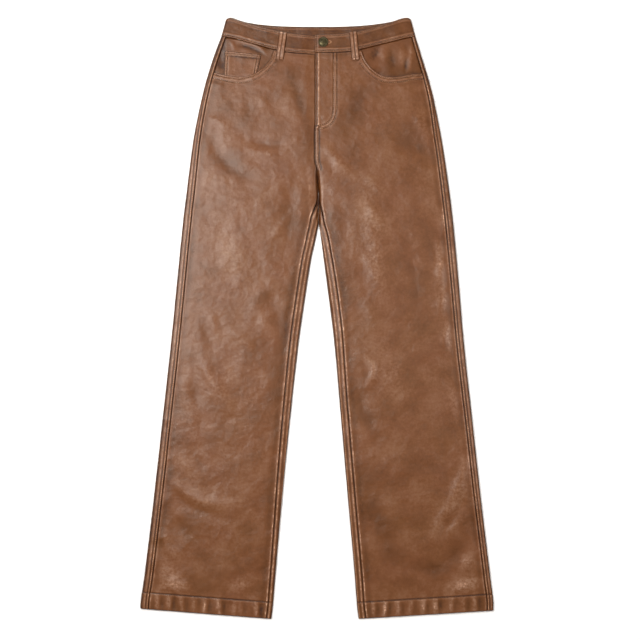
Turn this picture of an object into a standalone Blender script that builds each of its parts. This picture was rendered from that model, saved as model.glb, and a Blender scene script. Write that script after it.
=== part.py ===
"""Faux leather trousers, laid flat with the front up.

Every size is in millimetres until a point is placed, and in Blender's metres after that. +X is the
wearer's left, +Y runs up to the waist and +Z up from the surface that the trousers lie on, with the
origin under the middle of the whole garment. A "level" is a height along the legs, measured on Y.

The garment is one flattened tube at the hips and two below the crotch. Each back panel lies on the
surface, rolls round both folds and reaches the seams on top. Each front panel lies between them.
"""

import math
from dataclasses import dataclass

import bmesh
import bpy
import numpy as np
from mathutils import Vector

MM = 0.001

# The cloth and its seams
PANEL_WALL = 1.2
FACING_WALL = 1.0
BAND_WALL = 2.2
LOOP_WALL = 1.2
SEAM = 0.3  # the gap between neighbouring pieces
LAID_IN = PANEL_WALL + SEAM  # from a panel's face down to the face of what lies under it

# Levels that drive the shape
HALF_LENGTH = 540.0
HEM_LEVEL = -532.0
HEM_FADE = 120.0  # the hem's slope has died out this far above it
HEM_DEPTH = 30.0
CROTCH_LEVEL = 222.0
CREVICE_TOP = 285.0
WAIST_LEVEL = 478.0
WAIST_FADE_LEVEL = 330.0  # the waist's curve starts to bend the cloth here
BAND_SIDE_BOTTOM = 506.3
CROTCH_X = 3.2

# How far a fold lifts the cloth in from it
CROWN_REACH = 40.0
CALM_REACH = 12.0
CROTCH_LIFT = 30.0  # the back's crotch seam comes down to the surface over this length
CROTCH_SLACK = 1.3  # where four seams meet, each edge stands this much further back

# The front closure
FLY_LAP = 1.2  # the right front dips this far, under the left one's folded edge
FLY_LAP_REACH = 16.0
FLY_EDGE_X = -3.2
FLY_SHIELD_EDGE = 30.0
FLY_SHIELD_BOTTOM = 350.0
FLY_SHIELD_CORNER = 24.0  # its lower corner is round like the stitching over it
BAND_PROUD = 0.6
BAND_DIP_REACH = 26.0
UNDERLAP_END = 27.0
BUTTON_X, BUTTON_Y = 11.6, 495.5
BUTTON_RADIUS = 9.0
BUTTON_DOME = 3.0
BUTTON_SHANK_RADIUS = 2.2
EYELET_RADIUS = 2.9
BUTTONHOLE_END = 24.8
BUTTONHOLE_WIDTH = 1.4
BUTTONHOLE_OVERCUT = 0.2

# Belt loops: the middle of each end, and what each is like
LOOP_WIDTH = 12.0
LOOP_BULGE = 1.0
LOOP_STEP = 7.0  # below the band's edge a loop comes down to the panel over this length

# Pockets
FACING_HIDDEN = 14.0  # what the mouth's edge covers of the facing
FACING_BOTTOM = 416.0
FACING_SLACK = 0.5  # the left facing hangs this much further in
COIN_BOTTOM = 424.0
COIN_WALL = 1.0
CUT_DEPTH = 30.0
CUT_MARGIN = 20.0


class Table:
    """A short table with named columns. Its first column, in rising order, says where a row holds."""

    def __init__(self, columns, rows):
        values = np.array(rows, dtype=float).T
        self.places = values[0]
        self.columns = dict(zip(columns.split(), values))

    def read(self, column, where):
        """A column's value at each place, along a smooth line that never overshoots its rows."""
        xs, ys = self.places, self.columns[column]
        gaps = np.diff(xs)
        slopes = np.diff(ys) / gaps
        before, after = slopes[:-1], slopes[1:]
        turns = before * after <= 0
        mean = 2 * before * after / np.where(turns, 1.0, before + after)
        tangents = np.concatenate(([slopes[0]], np.where(turns, 0.0, mean), [slopes[-1]]))
        where = np.clip(where, xs[0], xs[-1])
        row = np.clip(np.searchsorted(xs, where) - 1, 0, len(gaps) - 1)
        t = (where - xs[row]) / gaps[row]
        start = (1 + 2 * t) * (1 - t) ** 2 * ys[row] + t * (1 - t) ** 2 * gaps[row] * tangents[row]
        end = t * t * (3 - 2 * t) * ys[row + 1] - t * t * (1 - t) * gaps[row] * tangents[row + 1]
        return start + end


# Half widths of the silhouette, from the middle out
OUTLINE = Table("level right left", (
    (-540.0, 317.5, 317.5),
    (-516.0, 317.0, 317.5),
    (-469.0, 310.5, 312.3),
    (-326.0, 293.2, 295.1),
    (-182.0, 277.1, 279.4),
    (-39.0, 261.3, 263.9),
    (68.6, 250.7, 254.7),
    (176.0, 239.9, 244.6),
    (248.0, 231.1, 235.6),
    (320.0, 221.7, 224.6),
    (391.0, 207.5, 210.7),
    (427.0, 198.5, 201.6),
    (463.0, 187.4, 190.6),
    (492.0, 177.0, 181.7),
    (506.0, 171.6, 177.3),
    (531.0, 164.7, 170.7),
    (536.4, 163.0, 169.1),
    (540.0, 158.5, 164.0),
))

# The two inner folds below the crotch
LEG_GAP = Table("level right left", (
    (-540.0, -81.5, 75.0),
    (-516.0, -78.6, 72.1),
    (-469.0, -74.8, 68.6),
    (-326.0, -62.3, 56.0),
    (-182.0, -47.9, 43.5),
    (-39.0, -31.8, 30.9),
    (32.7, -21.5, 22.0),
    (104.0, -10.3, 12.7),
    (154.6, 0.3, 6.0),
    (174.0, CROTCH_X - SEAM / 2, CROTCH_X + SEAM / 2),
    (CROTCH_LEVEL, CROTCH_X - SEAM / 2, CROTCH_X + SEAM / 2),
))

# The edge where the left front meets the right one, and the seam below the fly
CENTRE_FRONT = Table("level x", (
    (CROTCH_LEVEL, CROTCH_X),
    (252.0, 1.1),
    (266.0, 0.0),
    (CREVICE_TOP, -4.4),
    (337.0, -4.4),
    (350.0, FLY_EDGE_X),
    (HALF_LENGTH, FLY_EDGE_X),
))

# How wide the back panel's strip is on top, beside each fold
OUTSEAM = Table("level right left", (
    (-540.0, 15.0, 11.5),
    (-487.0, 15.0, 11.5),
    (176.0, 14.6, 14.0),
    (320.0, 12.0, 12.5),
    (391.0, 10.0, 9.0),
    (442.0, 9.5, 8.0),
    (490.0, 9.0, 7.5),
    (506.0, 8.5, 7.0),
))
INSEAM = Table("level right left", (
    (-540.0, 9.0, 13.0),
    (-487.0, 9.0, 13.0),
    (-147.0, 14.3, 13.8),
    (33.0, 16.0, 17.0),
    (142.0, 16.0, 13.7),
    (174.0, 14.3, 9.5),
    (198.0, 6.6, 4.6),
    (214.0, 0.7, 0.6),
    (CROTCH_LEVEL, 0.0, 0.0),
))

# Height of the cloth over a fold, the rise in from it, and how wide an inner fold's shoulder is
LOFT = Table("level edge rise shoulder", (
    (-540.0, 5.8, 0.3, 2.9),
    (-505.0, 6.0, 0.8, 3.0),
    (-450.0, 6.6, 2.2, 3.3),
    (-300.0, 7.0, 3.2, 3.5),
    (0.0, 7.2, 3.2, 3.6),
    (80.0, 7.2, 3.0, 4.6),
    (160.0, 7.2, 3.0, 8.0),
    (CROTCH_LEVEL, 7.2, 2.8, 10.0),
    (CREVICE_TOP, 7.2, 2.8, 10.0),
    (430.0, 7.0, 2.6, 10.0),
    (WAIST_LEVEL, 6.8, 1.7, 10.0),
    (510.0, 6.8, 0.9, 10.0),
    (HALF_LENGTH, 6.4, 0.3, 10.0),
))

# The waistband's edges, across the garment
BAND_FRONT = Table("x bottom top", (
    (-172.0, 506.5, 540.0),
    (-155.0, 503.6, 539.5),
    (-140.0, 500.0, 534.8),
    (-119.0, 494.0, 528.3),
    (-75.0, 482.2, 517.0),
    (-56.0, 478.0, 513.0),
    (-30.0, 475.2, 509.8),
    (FLY_EDGE_X, 473.8, 507.5),
))
BAND_FRONT_LEFT = Table("x bottom top", (
    (FLY_EDGE_X, 476.6, 508.8),
    (30.0, 477.0, 510.0),
    (54.0, 478.2, 511.7),
    (75.0, 482.0, 515.2),
    (112.0, 491.0, 525.0),
    (140.0, 498.0, 533.8),
    (158.0, 502.4, 539.2),
    (177.0, 506.5, 540.0),
))
BACK_DIP = 16.0  # the back band's top runs this far below its corners
BACK_BAND_HEIGHT = 34.5

# Hem: the level of its outer and inner corner on each leg
HEM_CORNERS = {"right": (-521.5, -540.0), "left": (-525.0, -540.0)}

# Pocket mouths, from the band out to the side seam
MOUTH = {
    "right": ((-75.5, 486.0), (-78.0, 477.0), (-82.5, 465.5), (-91.0, 454.5), (-108.0, 440.7),
              (-127.0, 434.0), (-140.6, 432.6), (-157.0, 434.8), (-175.0, 438.7), (-187.0, 441.4)),
    "left": ((79.0, 486.0), (81.0, 477.5), (88.0, 461.0), (99.0, 447.5), (113.0, 437.5),
             (129.0, 432.8), (150.0, 434.0), (170.0, 437.4), (190.0, 439.2)),
}
# The coin pocket: left and right edge at its top and at its lower edge, under the mouth
COIN_TOP_LEVELS = (479.8, 473.0)
COIN_TOP_X = (-165.4, -99.6)
COIN_BOTTOM_X = (-167.4, -110.0)

# Belt loops: top and bottom middle
LOOPS = {"right": ((-60.0, 512.6), (-66.6, 464.6)), "left": ((65.0, 513.4), (70.0, 463.8))}

# The largest folds: where each starts, bends and ends, its half width and its height
FOLDS = (
    # from the waist to the crotch
    ((-48.0, 459.0), (-27.0, 396.0), (-6.0, 325.0), 11.0, -2.2),
    ((80.0, 414.0), (76.0, 368.0), (40.0, 322.0), 12.0, -2.2),
    # round the hips
    ((-142.0, 332.0), (-98.0, 313.0), (-50.0, 318.0), 11.0, -1.5),
    ((-130.0, 308.0), (-100.0, 299.0), (-70.0, 299.0), 10.0, 1.1),
    ((-188.0, 334.0), (-164.0, 280.0), (-108.0, 250.0), 13.0, -1.6),
    ((14.0, 318.0), (36.0, 282.0), (72.0, 247.0), 9.0, 1.3),
    ((136.0, 318.0), (176.0, 306.0), (216.0, 284.0), 13.0, -1.4),
    ((174.0, 374.0), (192.0, 342.0), (206.0, 303.0), 11.0, 1.5),
    # down the thighs
    ((22.0, 266.0), (50.0, 140.0), (62.0, -58.0), 14.0, -2.2),
    ((-42.0, 264.0), (-49.0, 190.0), (-54.0, 100.0), 12.0, -1.6),
    ((86.0, 214.0), (104.0, 130.0), (118.0, 48.0), 15.0, 1.2),
    ((-90.0, 52.0), (-68.0, -4.0), (-56.0, -60.0), 12.0, -1.5),
    ((-215.0, -66.0), (-182.0, -118.0), (-144.0, -178.0), 13.0, 1.4),
    ((62.0, -88.0), (84.0, -162.0), (114.0, -218.0), 12.0, -1.5),
    # round the shins
    ((-262.0, -280.0), (-216.0, -326.0), (-144.0, -330.0), 11.0, 2.0),
    ((-266.0, -302.0), (-228.0, -332.0), (-180.0, -354.0), 11.0, -1.7),
    ((-264.0, -350.0), (-242.0, -378.0), (-214.0, -406.0), 13.0, -1.7),
    ((66.0, -286.0), (96.0, -362.0), (156.0, -468.0), 12.0, -2.1),
    ((260.0, -186.0), (262.0, -282.0), (194.0, -410.0), 11.0, 2.0),
    ((144.0, -422.0), (216.0, -446.0), (276.0, -372.0), 12.0, -2.1),
)
FOLD_STEPS = 10

# Levels of the panels' stations, closer together where the cloth is more broken up
STATION_RUNS = ((HEM_LEVEL, 2, 15.0), (-502.0, 3, 20.6), (-440.0, 9, 18.5), (-273.5, 12, 38.6),
                (190.0, 4, 8.0), (CROTCH_LEVEL, 14, 18.3))


def ease(t):
    """A smooth step from 0 to 1."""
    t = np.clip(t, 0.0, 1.0)
    return t * t * (3 - 2 * t)


def quarter_round(t):
    """The height of a quarter ellipse, t of the way in from its upright end."""
    return np.sqrt(1 - (1 - np.clip(t, 0.0, 1.0)) ** 2)


def spread(distance, reach):
    """How far the cloth has come up to its full height at a distance in from a fold."""
    return 1 - np.exp(-np.maximum(distance, 0.0) / reach)


def mix(a, b, t):
    return a + (b - a) * t


def stations():
    """The levels of every panel's rows, hem to waist."""
    levels = [start + step * k for start, count, step in STATION_RUNS for k in range(count)]
    return np.array(levels + [WAIST_LEVEL])


def bend(start, middle, end, t):
    """Points on a curve that passes through three places."""
    control = 2 * np.array(middle) - (np.array(start) + np.array(end)) / 2
    t = np.asarray(t)[:, None]
    return (1 - t) ** 2 * np.array(start) + 2 * t * (1 - t) * control + t * t * np.array(end)


def fold_height(x, y):
    """What the largest folds add to the cloth's height."""
    points = np.stack((x, y), axis=-1)
    total = np.zeros(x.shape)
    for start, middle, end, half_width, height in FOLDS:
        line = bend(start, middle, end, np.linspace(0, 1, FOLD_STEPS + 1))
        nearest = np.full(x.shape, 1e9)
        along = np.zeros(x.shape)
        for step, (a, b) in enumerate(zip(line[:-1], line[1:])):
            run = b - a
            t = np.clip(((points - a) @ run) / (run @ run), 0, 1)
            distance = np.linalg.norm(points - a - t[..., None] * run, axis=-1)
            closer = distance < nearest
            nearest = np.where(closer, distance, nearest)
            along = np.where(closer, (step + t) / FOLD_STEPS, along)
        taper = np.sqrt(np.clip(np.sin(np.pi * (0.08 + 0.84 * along)), 0, 1))
        total += height * taper * np.exp(-((nearest / half_width) ** 2))
    return total


@dataclass(frozen=True)
class Side:
    """One half of the garment, by the wearer's side, and the shape of the cloth over it."""

    name: str
    sign: int

    def outer(self, level):
        """The silhouette's X at a level."""
        return self.sign * OUTLINE.read(self.name, level)

    def inner(self, level):
        """X of the inner fold, or above the crotch of the front panel's edge."""
        centre = CENTRE_FRONT.read("x", level) + self.sign * SEAM / 2
        return np.where(np.asarray(level) < CROTCH_LEVEL, LEG_GAP.read(self.name, level), centre)

    def from_outer(self, x, level):
        return self.sign * (self.outer(level) - x)

    def from_inner(self, x, level):
        return self.sign * (x - self.inner(level))

    def height(self, x, y):
        """Height of the upper cloth's outer face over the surface below."""
        edge, rise = LOFT.read("edge", y), LOFT.read("rise", y)
        shoulder = LOFT.read("shoulder", y)
        hip = ease((y - CROTCH_LEVEL) / (CREVICE_TOP - CROTCH_LEVEL))
        outward = self.from_outer(x, y)
        inward = self.from_inner(x, y)
        past_outer, past_inner = outward - edge / 2, inward - shoulder
        crown = spread(past_outer, CROWN_REACH) * mix(spread(past_inner, CROWN_REACH), 1.0, hip)
        calm = spread(past_outer, CALM_REACH) * mix(spread(past_inner, CALM_REACH), 1.0, hip)
        full = edge + rise * crown + fold_height(x, y) * calm
        crevice = mix(edge / 2, full, hip)
        z = crevice + (full - crevice) * quarter_round(inward / shoulder)
        return edge / 2 + (z - edge / 2) * quarter_round(outward / (edge / 2))

    def shoulder_arc(self, level):
        """Half width of the inner fold's shoulder, and the length of cloth over it."""
        half = LOFT.read("shoulder", level)
        hip = ease((level - CROTCH_LEVEL) / (CREVICE_TOP - CROTCH_LEVEL))
        return half, half + (math.pi / 2 - 1) * LOFT.read("edge", level) / 2 * (1 - hip)

    def along_cloth(self, distance, level):
        """Length of cloth from the inner fold to a place that lies a distance out from it."""
        half, length = self.shoulder_arc(level)
        angle = np.arccos(1 - np.clip(distance / half, 0, 1))
        return np.where(distance < half, length * angle / (math.pi / 2), length + distance - half)

    def out_from_fold(self, cloth, level):
        """The distance out from the inner fold of a place that a length of cloth reaches."""
        half, length = self.shoulder_arc(level)
        angle = np.clip(cloth / length, 0, 1) * math.pi / 2
        return np.where(cloth < length, half * (1 - np.cos(angle)), half + cloth - length)

    def hem(self, x, level):
        """The hem's Y where the cloth lies at X."""
        outer, inner = HEM_CORNERS[self.name]
        width = np.abs(self.outer(level) - self.inner(level))
        return mix(outer, inner, np.clip(self.from_outer(x, level) / width, 0, 1))

    def skew(self, x, level, waist):
        """Y on the cloth for a station, which follows the hem below and the waist above."""
        at_hem = 1 - ease((level - HEM_LEVEL) / HEM_FADE)
        at_waist = ease((level - WAIST_FADE_LEVEL) / (WAIST_LEVEL - WAIST_FADE_LEVEL))
        hem = self.hem(x, np.full(np.shape(x), HEM_LEVEL))
        return level + (hem - HEM_LEVEL) * at_hem + (waist - WAIST_LEVEL) * at_waist


RIGHT = Side("right", -1)
LEFT = Side("left", 1)
SIDES = (RIGHT, LEFT)


def band_front(edge, side, x):
    """Y of the waistband's bottom or top edge on the front."""
    table = BAND_FRONT if side is RIGHT else BAND_FRONT_LEFT
    return table.read(edge, x)


def band_back(edge, x):
    """Y of the waistband's bottom or top edge on the back."""
    if edge == "top":
        reach = np.minimum(np.abs(x) / OUTLINE.read("right", 538.0), 1.0)
        return HALF_LENGTH - BACK_DIP * (1 - reach**3)
    reach = np.minimum(np.abs(x) / OUTLINE.read("right", BAND_SIDE_BOTTOM), 1.0)
    return mix(HALF_LENGTH - BACK_DIP - BACK_BAND_HEIGHT, BAND_SIDE_BOTTOM, reach**2)


def lap_under(side, x, y):
    """How far the right front dips to pass under the fly's edge."""
    if side is LEFT:
        return 0.0
    near = ease(1 - side.from_inner(x, y) / FLY_LAP_REACH)
    return FLY_LAP * near * ease((y - CREVICE_TOP + 25) / 30)


def crotch_gap(level):
    """Half the gap in the seam between front and back, wider where four seams meet."""
    return SEAM / 2 + CROTCH_SLACK * np.exp(-(((level - CROTCH_LEVEL) / CROTCH_LIFT) ** 2))


def net_object(name, columns, rows, place, wall, material, flip, ring=False):
    """A cloth piece: a grid laid by place(column, row) as its outer face, and thickened inward."""
    net = bmesh.new()
    bmesh.ops.create_grid(net, x_segments=columns - 1, y_segments=rows - 1, size=0.5)
    net.verts.ensure_lookup_table()
    plan = np.array([v.co[:2] for v in net.verts]) + 0.5
    column = np.rint(plan[:, 0] * (columns - 1)).astype(int)
    row = np.rint(plan[:, 1] * (rows - 1)).astype(int)
    for vert, point in zip(net.verts, place(column, row)):
        vert.co = point * MM
    if ring:
        bmesh.ops.remove_doubles(net, verts=net.verts, dist=1e-6)
    if flip:
        bmesh.ops.reverse_faces(net, faces=net.faces)
    piece = mesh_object(name, net, material)
    thicken = piece.modifiers.new("Cloth", "SOLIDIFY")
    thicken.thickness = wall * MM
    thicken.offset = -1
    thicken.use_even_offset = True
    return piece


def mesh_object(name, net, material):
    mesh = bpy.data.meshes.new(name)
    net.to_mesh(mesh)
    net.free()
    mesh.shade_smooth()
    piece = bpy.data.objects.new(name, mesh)
    PARTS.objects.link(piece)
    mesh.materials.append(material)
    return piece


def front_panel(side, material):
    """A front, from the outer seam's gap to the inner seam or the centre front."""
    levels = stations()
    shares = np.concatenate(((0.0, 0.01, 0.03, 0.06), np.linspace(0.12, 1.0, 13)))

    def place(column, row):
        share, level = shares[column], levels[row]
        y = level.copy()
        for _ in range(4):
            inner, outer = side.inner(y), side.outer(y)
            start = side.along_cloth(INSEAM.read(side.name, y), y) + crotch_gap(y)
            width = np.abs(outer - inner) - OUTSEAM.read(side.name, y) - SEAM / 2
            cloth = mix(start, side.along_cloth(width, y), share)
            x = inner + side.sign * side.out_from_fold(cloth, y)
            y = side.skew(x, level, band_front("bottom", side, x) - SEAM / 2)
        return np.stack((x, y, side.height(x, y) - lap_under(side, x, y)), axis=-1)

    piece = net_object(f"front_{side.name}", len(shares), len(levels), place, PANEL_WALL, material,
                       flip=side is RIGHT)
    cut(piece, mouth_cutter(side))
    return piece


def smooth_path(points, steps):
    """A closely spaced path through a few points."""
    points = np.array(points, dtype=float)
    tangents = np.gradient(points, axis=0)
    path = []
    for k in range(len(points) - 1):
        for t in np.arange(steps) / steps:
            path.append((1 + 2 * t) * (1 - t) ** 2 * points[k] + t * (1 - t) ** 2 * tangents[k]
                        + t * t * (3 - 2 * t) * points[k + 1] - t * t * (1 - t) * tangents[k + 1])
    return path + [points[-1]]


def mouth_cutter(side):
    """The space over a pocket's mouth, out past the side seam and the band."""
    mouth = smooth_path(MOUTH[side.name], 3)
    outside = mouth[-1][0] + side.sign * CUT_MARGIN
    over = HALF_LENGTH
    corners = [(outside, mouth[-1][1]), (outside, over), (mouth[0][0], over)]
    return plate_cutter(f"mouth_cutter_{side.name}", [*mouth, *corners])


def plate_cutter(name, outline):
    """A thick plate with a flat outline, for cutting through every layer at once."""
    curve = bpy.data.curves.new(name, "CURVE")
    curve.dimensions = "2D"
    curve.fill_mode = "BOTH"
    curve.extrude = CUT_DEPTH * MM / 2
    spline = curve.splines.new("POLY")
    spline.points.add(len(outline) - 1)
    for point, (x, y) in zip(spline.points, outline):
        point.co = (x * MM, y * MM, 0, 1)
    spline.use_cyclic_u = True
    drawn = bpy.data.objects.new(name, curve)
    CUTTERS.objects.link(drawn)
    bpy.context.view_layer.update()
    solid = bpy.data.meshes.new_from_object(drawn.evaluated_get(bpy.context.evaluated_depsgraph_get()))
    bpy.data.objects.remove(drawn)
    net = bmesh.new()
    net.from_mesh(solid)
    bmesh.ops.remove_doubles(net, verts=net.verts, dist=1e-6)
    bmesh.ops.recalc_face_normals(net, faces=net.faces)
    net.to_mesh(solid)
    net.free()
    return cutter_object(name, solid)


def cutter_object(name, mesh):
    cutter = bpy.data.objects.new(name, mesh)
    CUTTERS.objects.link(cutter)
    cutter.hide_render = True
    cutter.display_type = "WIRE"
    return cutter


def cut(piece, cutter):
    boolean = piece.modifiers.new(cutter.name, "BOOLEAN")
    boolean.operation = "DIFFERENCE"
    boolean.solver = "EXACT"
    boolean.object = cutter


def back_panel(side, material):
    """A back: the strip on top, round the outer fold, along the surface and up the inner fold."""
    levels = stations()
    strip_shares = (1.0, 0.5, 0.0)  # of the flat strip beside the outer fold
    turn_shares = (1.0, 0.5, 0.0, -0.5, -1.0)  # of the quarter circle above and below that fold
    floor_shares = (0.2, 0.4, 0.6, 0.8)
    inner_shares = (1.0, 0.84, 0.66, 0.36, 0.0)  # of the cloth between inner fold and seam
    outer_count = len(strip_shares) + len(turn_shares) - 1
    floor_count = len(floor_shares)
    inner_runs = [("below", 1.0), ("below", 0.5)] + [("above", share) for share in inner_shares]
    columns = outer_count + floor_count + len(inner_runs)
    least_inner_cloth = 6.0

    def outer_point(column, y):
        """Distance in from the outer fold and height, for the strip and the fold's columns."""
        radius = LOFT.read("edge", y) / 2
        flat = OUTSEAM.read(side.name, y) - SEAM / 2 - radius
        strip = np.array(strip_shares + (0.0,) * (outer_count - len(strip_shares)))[column]
        turn = np.array((1.0,) * (len(strip_shares) - 1) + turn_shares)[column] * math.pi / 2
        inward = radius * (1 - np.cos(turn)) + flat * strip
        return inward, radius * (1 + np.sin(turn)), column < len(strip_shares)

    def inner_point(column, y):
        """Distance out from the inner fold and height, for the inner fold's columns."""
        radius = LOFT.read("edge", y) / 2
        low = np.maximum(radius * (1 - ease((y - CROTCH_LEVEL) / CROTCH_LIFT)), 0.01)
        above = side.along_cloth(INSEAM.read(side.name, y), y) - crotch_gap(y)
        quarter = radius * math.pi / 2
        below = np.array([share if kind == "below" else 0.0 for kind, share in inner_runs])[column]
        share = np.array([0.0 if kind == "below" else share for kind, share in inner_runs])[column]
        share = np.where(below > 0, 1.0, share)
        cloth = above - np.maximum(above, least_inner_cloth) * share - quarter * below
        turn = np.clip(-cloth / low, 0, math.pi / 2)
        beyond = np.maximum(-cloth - low * math.pi / 2, 0.0)
        outward = np.where(cloth > 0, side.out_from_fold(np.maximum(cloth, 0), y),
                           low * (1 - np.cos(turn)) + beyond)
        return outward, low * (1 - np.sin(turn)), cloth > 0

    def place(column, row):
        level = levels[row]
        y = level.copy()
        is_outer = column < outer_count
        is_inner = column >= outer_count + floor_count
        first_inner = np.zeros_like(column)
        last_outer = np.full_like(column, outer_count - 1)
        floor_share = np.array(floor_shares)[np.clip(column - outer_count, 0, floor_count - 1)]
        for _ in range(4):
            centre = np.where(y < CROTCH_LEVEL, side.inner(y), CROTCH_X + side.sign * SEAM / 2)
            inward, z_outer, on_top = outer_point(np.where(is_outer, column, last_outer), y)
            outward, z_inner, inner_top = inner_point(
                np.where(is_inner, column - outer_count - floor_count, first_inner), y)
            x_outer = side.outer(y) - side.sign * inward
            x_inner = centre + side.sign * outward
            x = np.where(is_outer, x_outer, np.where(is_inner, x_inner,
                                                     mix(x_outer, x_inner, floor_share)))
            upper = np.where(is_outer, on_top, inner_top)
            waist = np.where(upper & is_outer, band_front("bottom", side, x),
                             band_back("bottom", x)) - SEAM / 2
            y = side.skew(x, level, waist)
        flat_z = np.where(is_outer, z_outer, np.where(is_inner, z_inner, 0.0))
        z = np.where(upper & (is_outer | is_inner), side.height(x, y), flat_z)
        return np.stack((x, y, z), axis=-1)

    return net_object(f"back_{side.name}", columns, len(levels), place, PANEL_WALL, material,
                      flip=side is RIGHT)


def band_height(side, x, y):
    """Height of the waistband's outer face on the front, where nothing laps over it."""
    radius = LOFT.read("edge", y) / 2
    return side.height(x, y) + BAND_PROUD * spread(side.from_outer(x, y) - radius, CALM_REACH)


def waistband(material):
    """One strip from the buttonhole end, round the left fold, the back and the right fold, and on
    under the buttonhole end."""
    rises = np.array([0.0, 0.35, 0.65, 0.88, 1.0])
    across_front = np.linspace(0, 1, 11)
    turns = np.radians((45.0, 0.0, -45.0))
    across_back = np.linspace(0, 1, 12)
    under = np.linspace(0, 1, 4)[1:]
    runs = ([("front", LEFT, share) for share in across_front]
            + [("turn", LEFT, angle) for angle in turns]
            + [("back", LEFT, share) for share in across_back]
            + [("turn", RIGHT, angle) for angle in turns[::-1]]
            + [("front", RIGHT, share) for share in across_front[::-1]]
            + [("under", LEFT, share) for share in under])

    def point(run, rise):
        kind, side, value = run
        corner = mix(BAND_SIDE_BOTTOM, HALF_LENGTH, rise)
        radius = float(LOFT.read("edge", corner)) / 2
        fold = float(side.outer(corner))
        inside = fold - side.sign * radius

        def front_y(x, on_side):
            return mix(band_front("bottom", on_side, x) + SEAM / 2, band_front("top", on_side, x), rise)

        def back_y(x):
            return mix(band_back("bottom", x) + SEAM / 2, band_back("top", x), rise)

        if kind == "front":
            x = mix(FLY_EDGE_X, inside, value)
            y = float(front_y(x, side))
            dip = 0.0 if side is LEFT else (BAND_WALL + SEAM) * float(
                ease(1 - (FLY_EDGE_X - x) / BAND_DIP_REACH))
            return x, y, float(band_height(side, np.array(x), np.array(y))) - dip
        if kind == "under":
            x = mix(FLY_EDGE_X, UNDERLAP_END, value)
            y = mix(float(front_y(FLY_EDGE_X, RIGHT)), float(front_y(x, LEFT)), min(1.0, 2 * value))
            return x, y, float(band_height(LEFT, np.array(x), np.array(y))) - BAND_WALL - SEAM
        if kind == "turn":
            x = fold - side.sign * radius * (1 - math.cos(value))
            share = (1 - math.sin(value)) / 2
            return x, mix(float(front_y(x, side)), float(back_y(x)), share), radius * (1 + math.sin(value))
        other = float(RIGHT.outer(corner)) + radius
        x = mix(float(LEFT.outer(corner)) - radius, other, value)
        return x, float(back_y(x)), 0.0

    def place(column, row):
        return np.array([point(runs[c], rises[r]) for c, r in zip(column, row)])

    piece = net_object("waistband", len(runs), len(rises), place, BAND_WALL, material, flip=False)
    height = float(band_height(LEFT, np.array(BUTTON_X), np.array(BUTTON_Y)))
    for cutter in buttonhole_cutters(height):
        cut(piece, cutter)
    return piece


def buttonhole_cutters(height):
    """A round eyelet for the shank and a straight slot, through the top layer of the band only."""
    depth = BAND_WALL + 2 * BUTTONHOLE_OVERCUT
    eyelet = bmesh.new()
    bmesh.ops.create_cone(eyelet, cap_ends=True, segments=20, radius1=EYELET_RADIUS * MM,
                          radius2=EYELET_RADIUS * MM, depth=depth * MM)
    slot = bmesh.new()
    bmesh.ops.create_cube(slot, size=1)
    length = BUTTONHOLE_END - BUTTON_X
    for vert in slot.verts:
        vert.co = vert.co * Vector((length, BUTTONHOLE_WIDTH, depth)) * MM
    cutters = []
    for name, net, x in (("eyelet_cutter", eyelet, BUTTON_X),
                         ("slot_cutter", slot, BUTTON_X + length / 2)):
        mesh = bpy.data.meshes.new(name)
        net.to_mesh(mesh)
        net.free()
        cutter = cutter_object(name, mesh)
        cutter.location = (x * MM, BUTTON_Y * MM, (height - BAND_WALL / 2) * MM)
        cutters.append(cutter)
    return cutters


def belt_loop(side, material):
    """A strip over the band, with its lower end turned in on the panel below."""
    (top_x, top_y), (low_x, low_y) = LOOPS[side.name]
    stops = np.array([0, 0.04, 0.2, 0.4, 0.58, 0.68, 0.75, 0.82, 0.9, 1.0])
    half = LOOP_WIDTH / 2
    shares = np.array([-1.0, 0.0, 1.0])

    def place(column, row):
        along = stops[row]
        middle_x, y = mix(top_x, low_x, along), mix(top_y, low_y, along)
        x = middle_x + half * shares[column]
        band_edge = band_front("bottom", side, x)
        on_panel = ease((band_edge - 1.0 - y) / LOOP_STEP)
        over_band = band_height(side, x, np.maximum(y, band_edge))
        base = mix(over_band, side.height(x, np.minimum(y, band_edge)), on_panel)
        bulge = LOOP_BULGE * np.sin(np.pi * np.clip(along / 0.95, 0, 1)) ** 2
        return np.stack((x, y, base + SEAM + LOOP_WALL + bulge), axis=-1)

    return net_object(f"belt_loop_{side.name}", len(shares), len(stops), place, LOOP_WALL, material,
                      flip=True)


def facing_sink(side):
    """How far the pocket facing lies below the front panel's face."""
    return LAID_IN + (COIN_WALL + SEAM if side is RIGHT else FACING_SLACK)


def pocket_facing(side, material):
    """The cloth in the pocket's mouth, sewn to the band and the side seam."""
    start = MOUTH[side.name][0][0] - side.sign * FACING_HIDDEN

    def place(column, row):
        across, up = column / 7, row / 6
        y = mix(FACING_BOTTOM, WAIST_LEVEL, up)
        for _ in range(4):
            seam = side.outer(y) - side.sign * (OUTSEAM.read(side.name, y) + SEAM / 2)
            x = mix(seam, start, across)
            y = mix(FACING_BOTTOM, band_front("bottom", side, x) - SEAM / 2, up)
        return np.stack((x, y, side.height(x, y) - facing_sink(side)), axis=-1)

    return net_object(f"pocket_facing_{side.name}", 8, 7, place, FACING_WALL, material,
                      flip=side is LEFT)


def coin_pocket(material):
    """The small pocket on the right facing, held under the mouth's edge."""

    def place(column, row):
        across, up = column / 5, row / 4
        x = mix(mix(COIN_BOTTOM_X[0], COIN_BOTTOM_X[1], across), mix(*COIN_TOP_X, across), up)
        y = mix(COIN_BOTTOM, mix(*COIN_TOP_LEVELS, across), up)
        return np.stack((x, y, RIGHT.height(x, y) - LAID_IN), axis=-1)

    return net_object("coin_pocket", 6, 5, place, COIN_WALL, material, flip=False)


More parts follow.
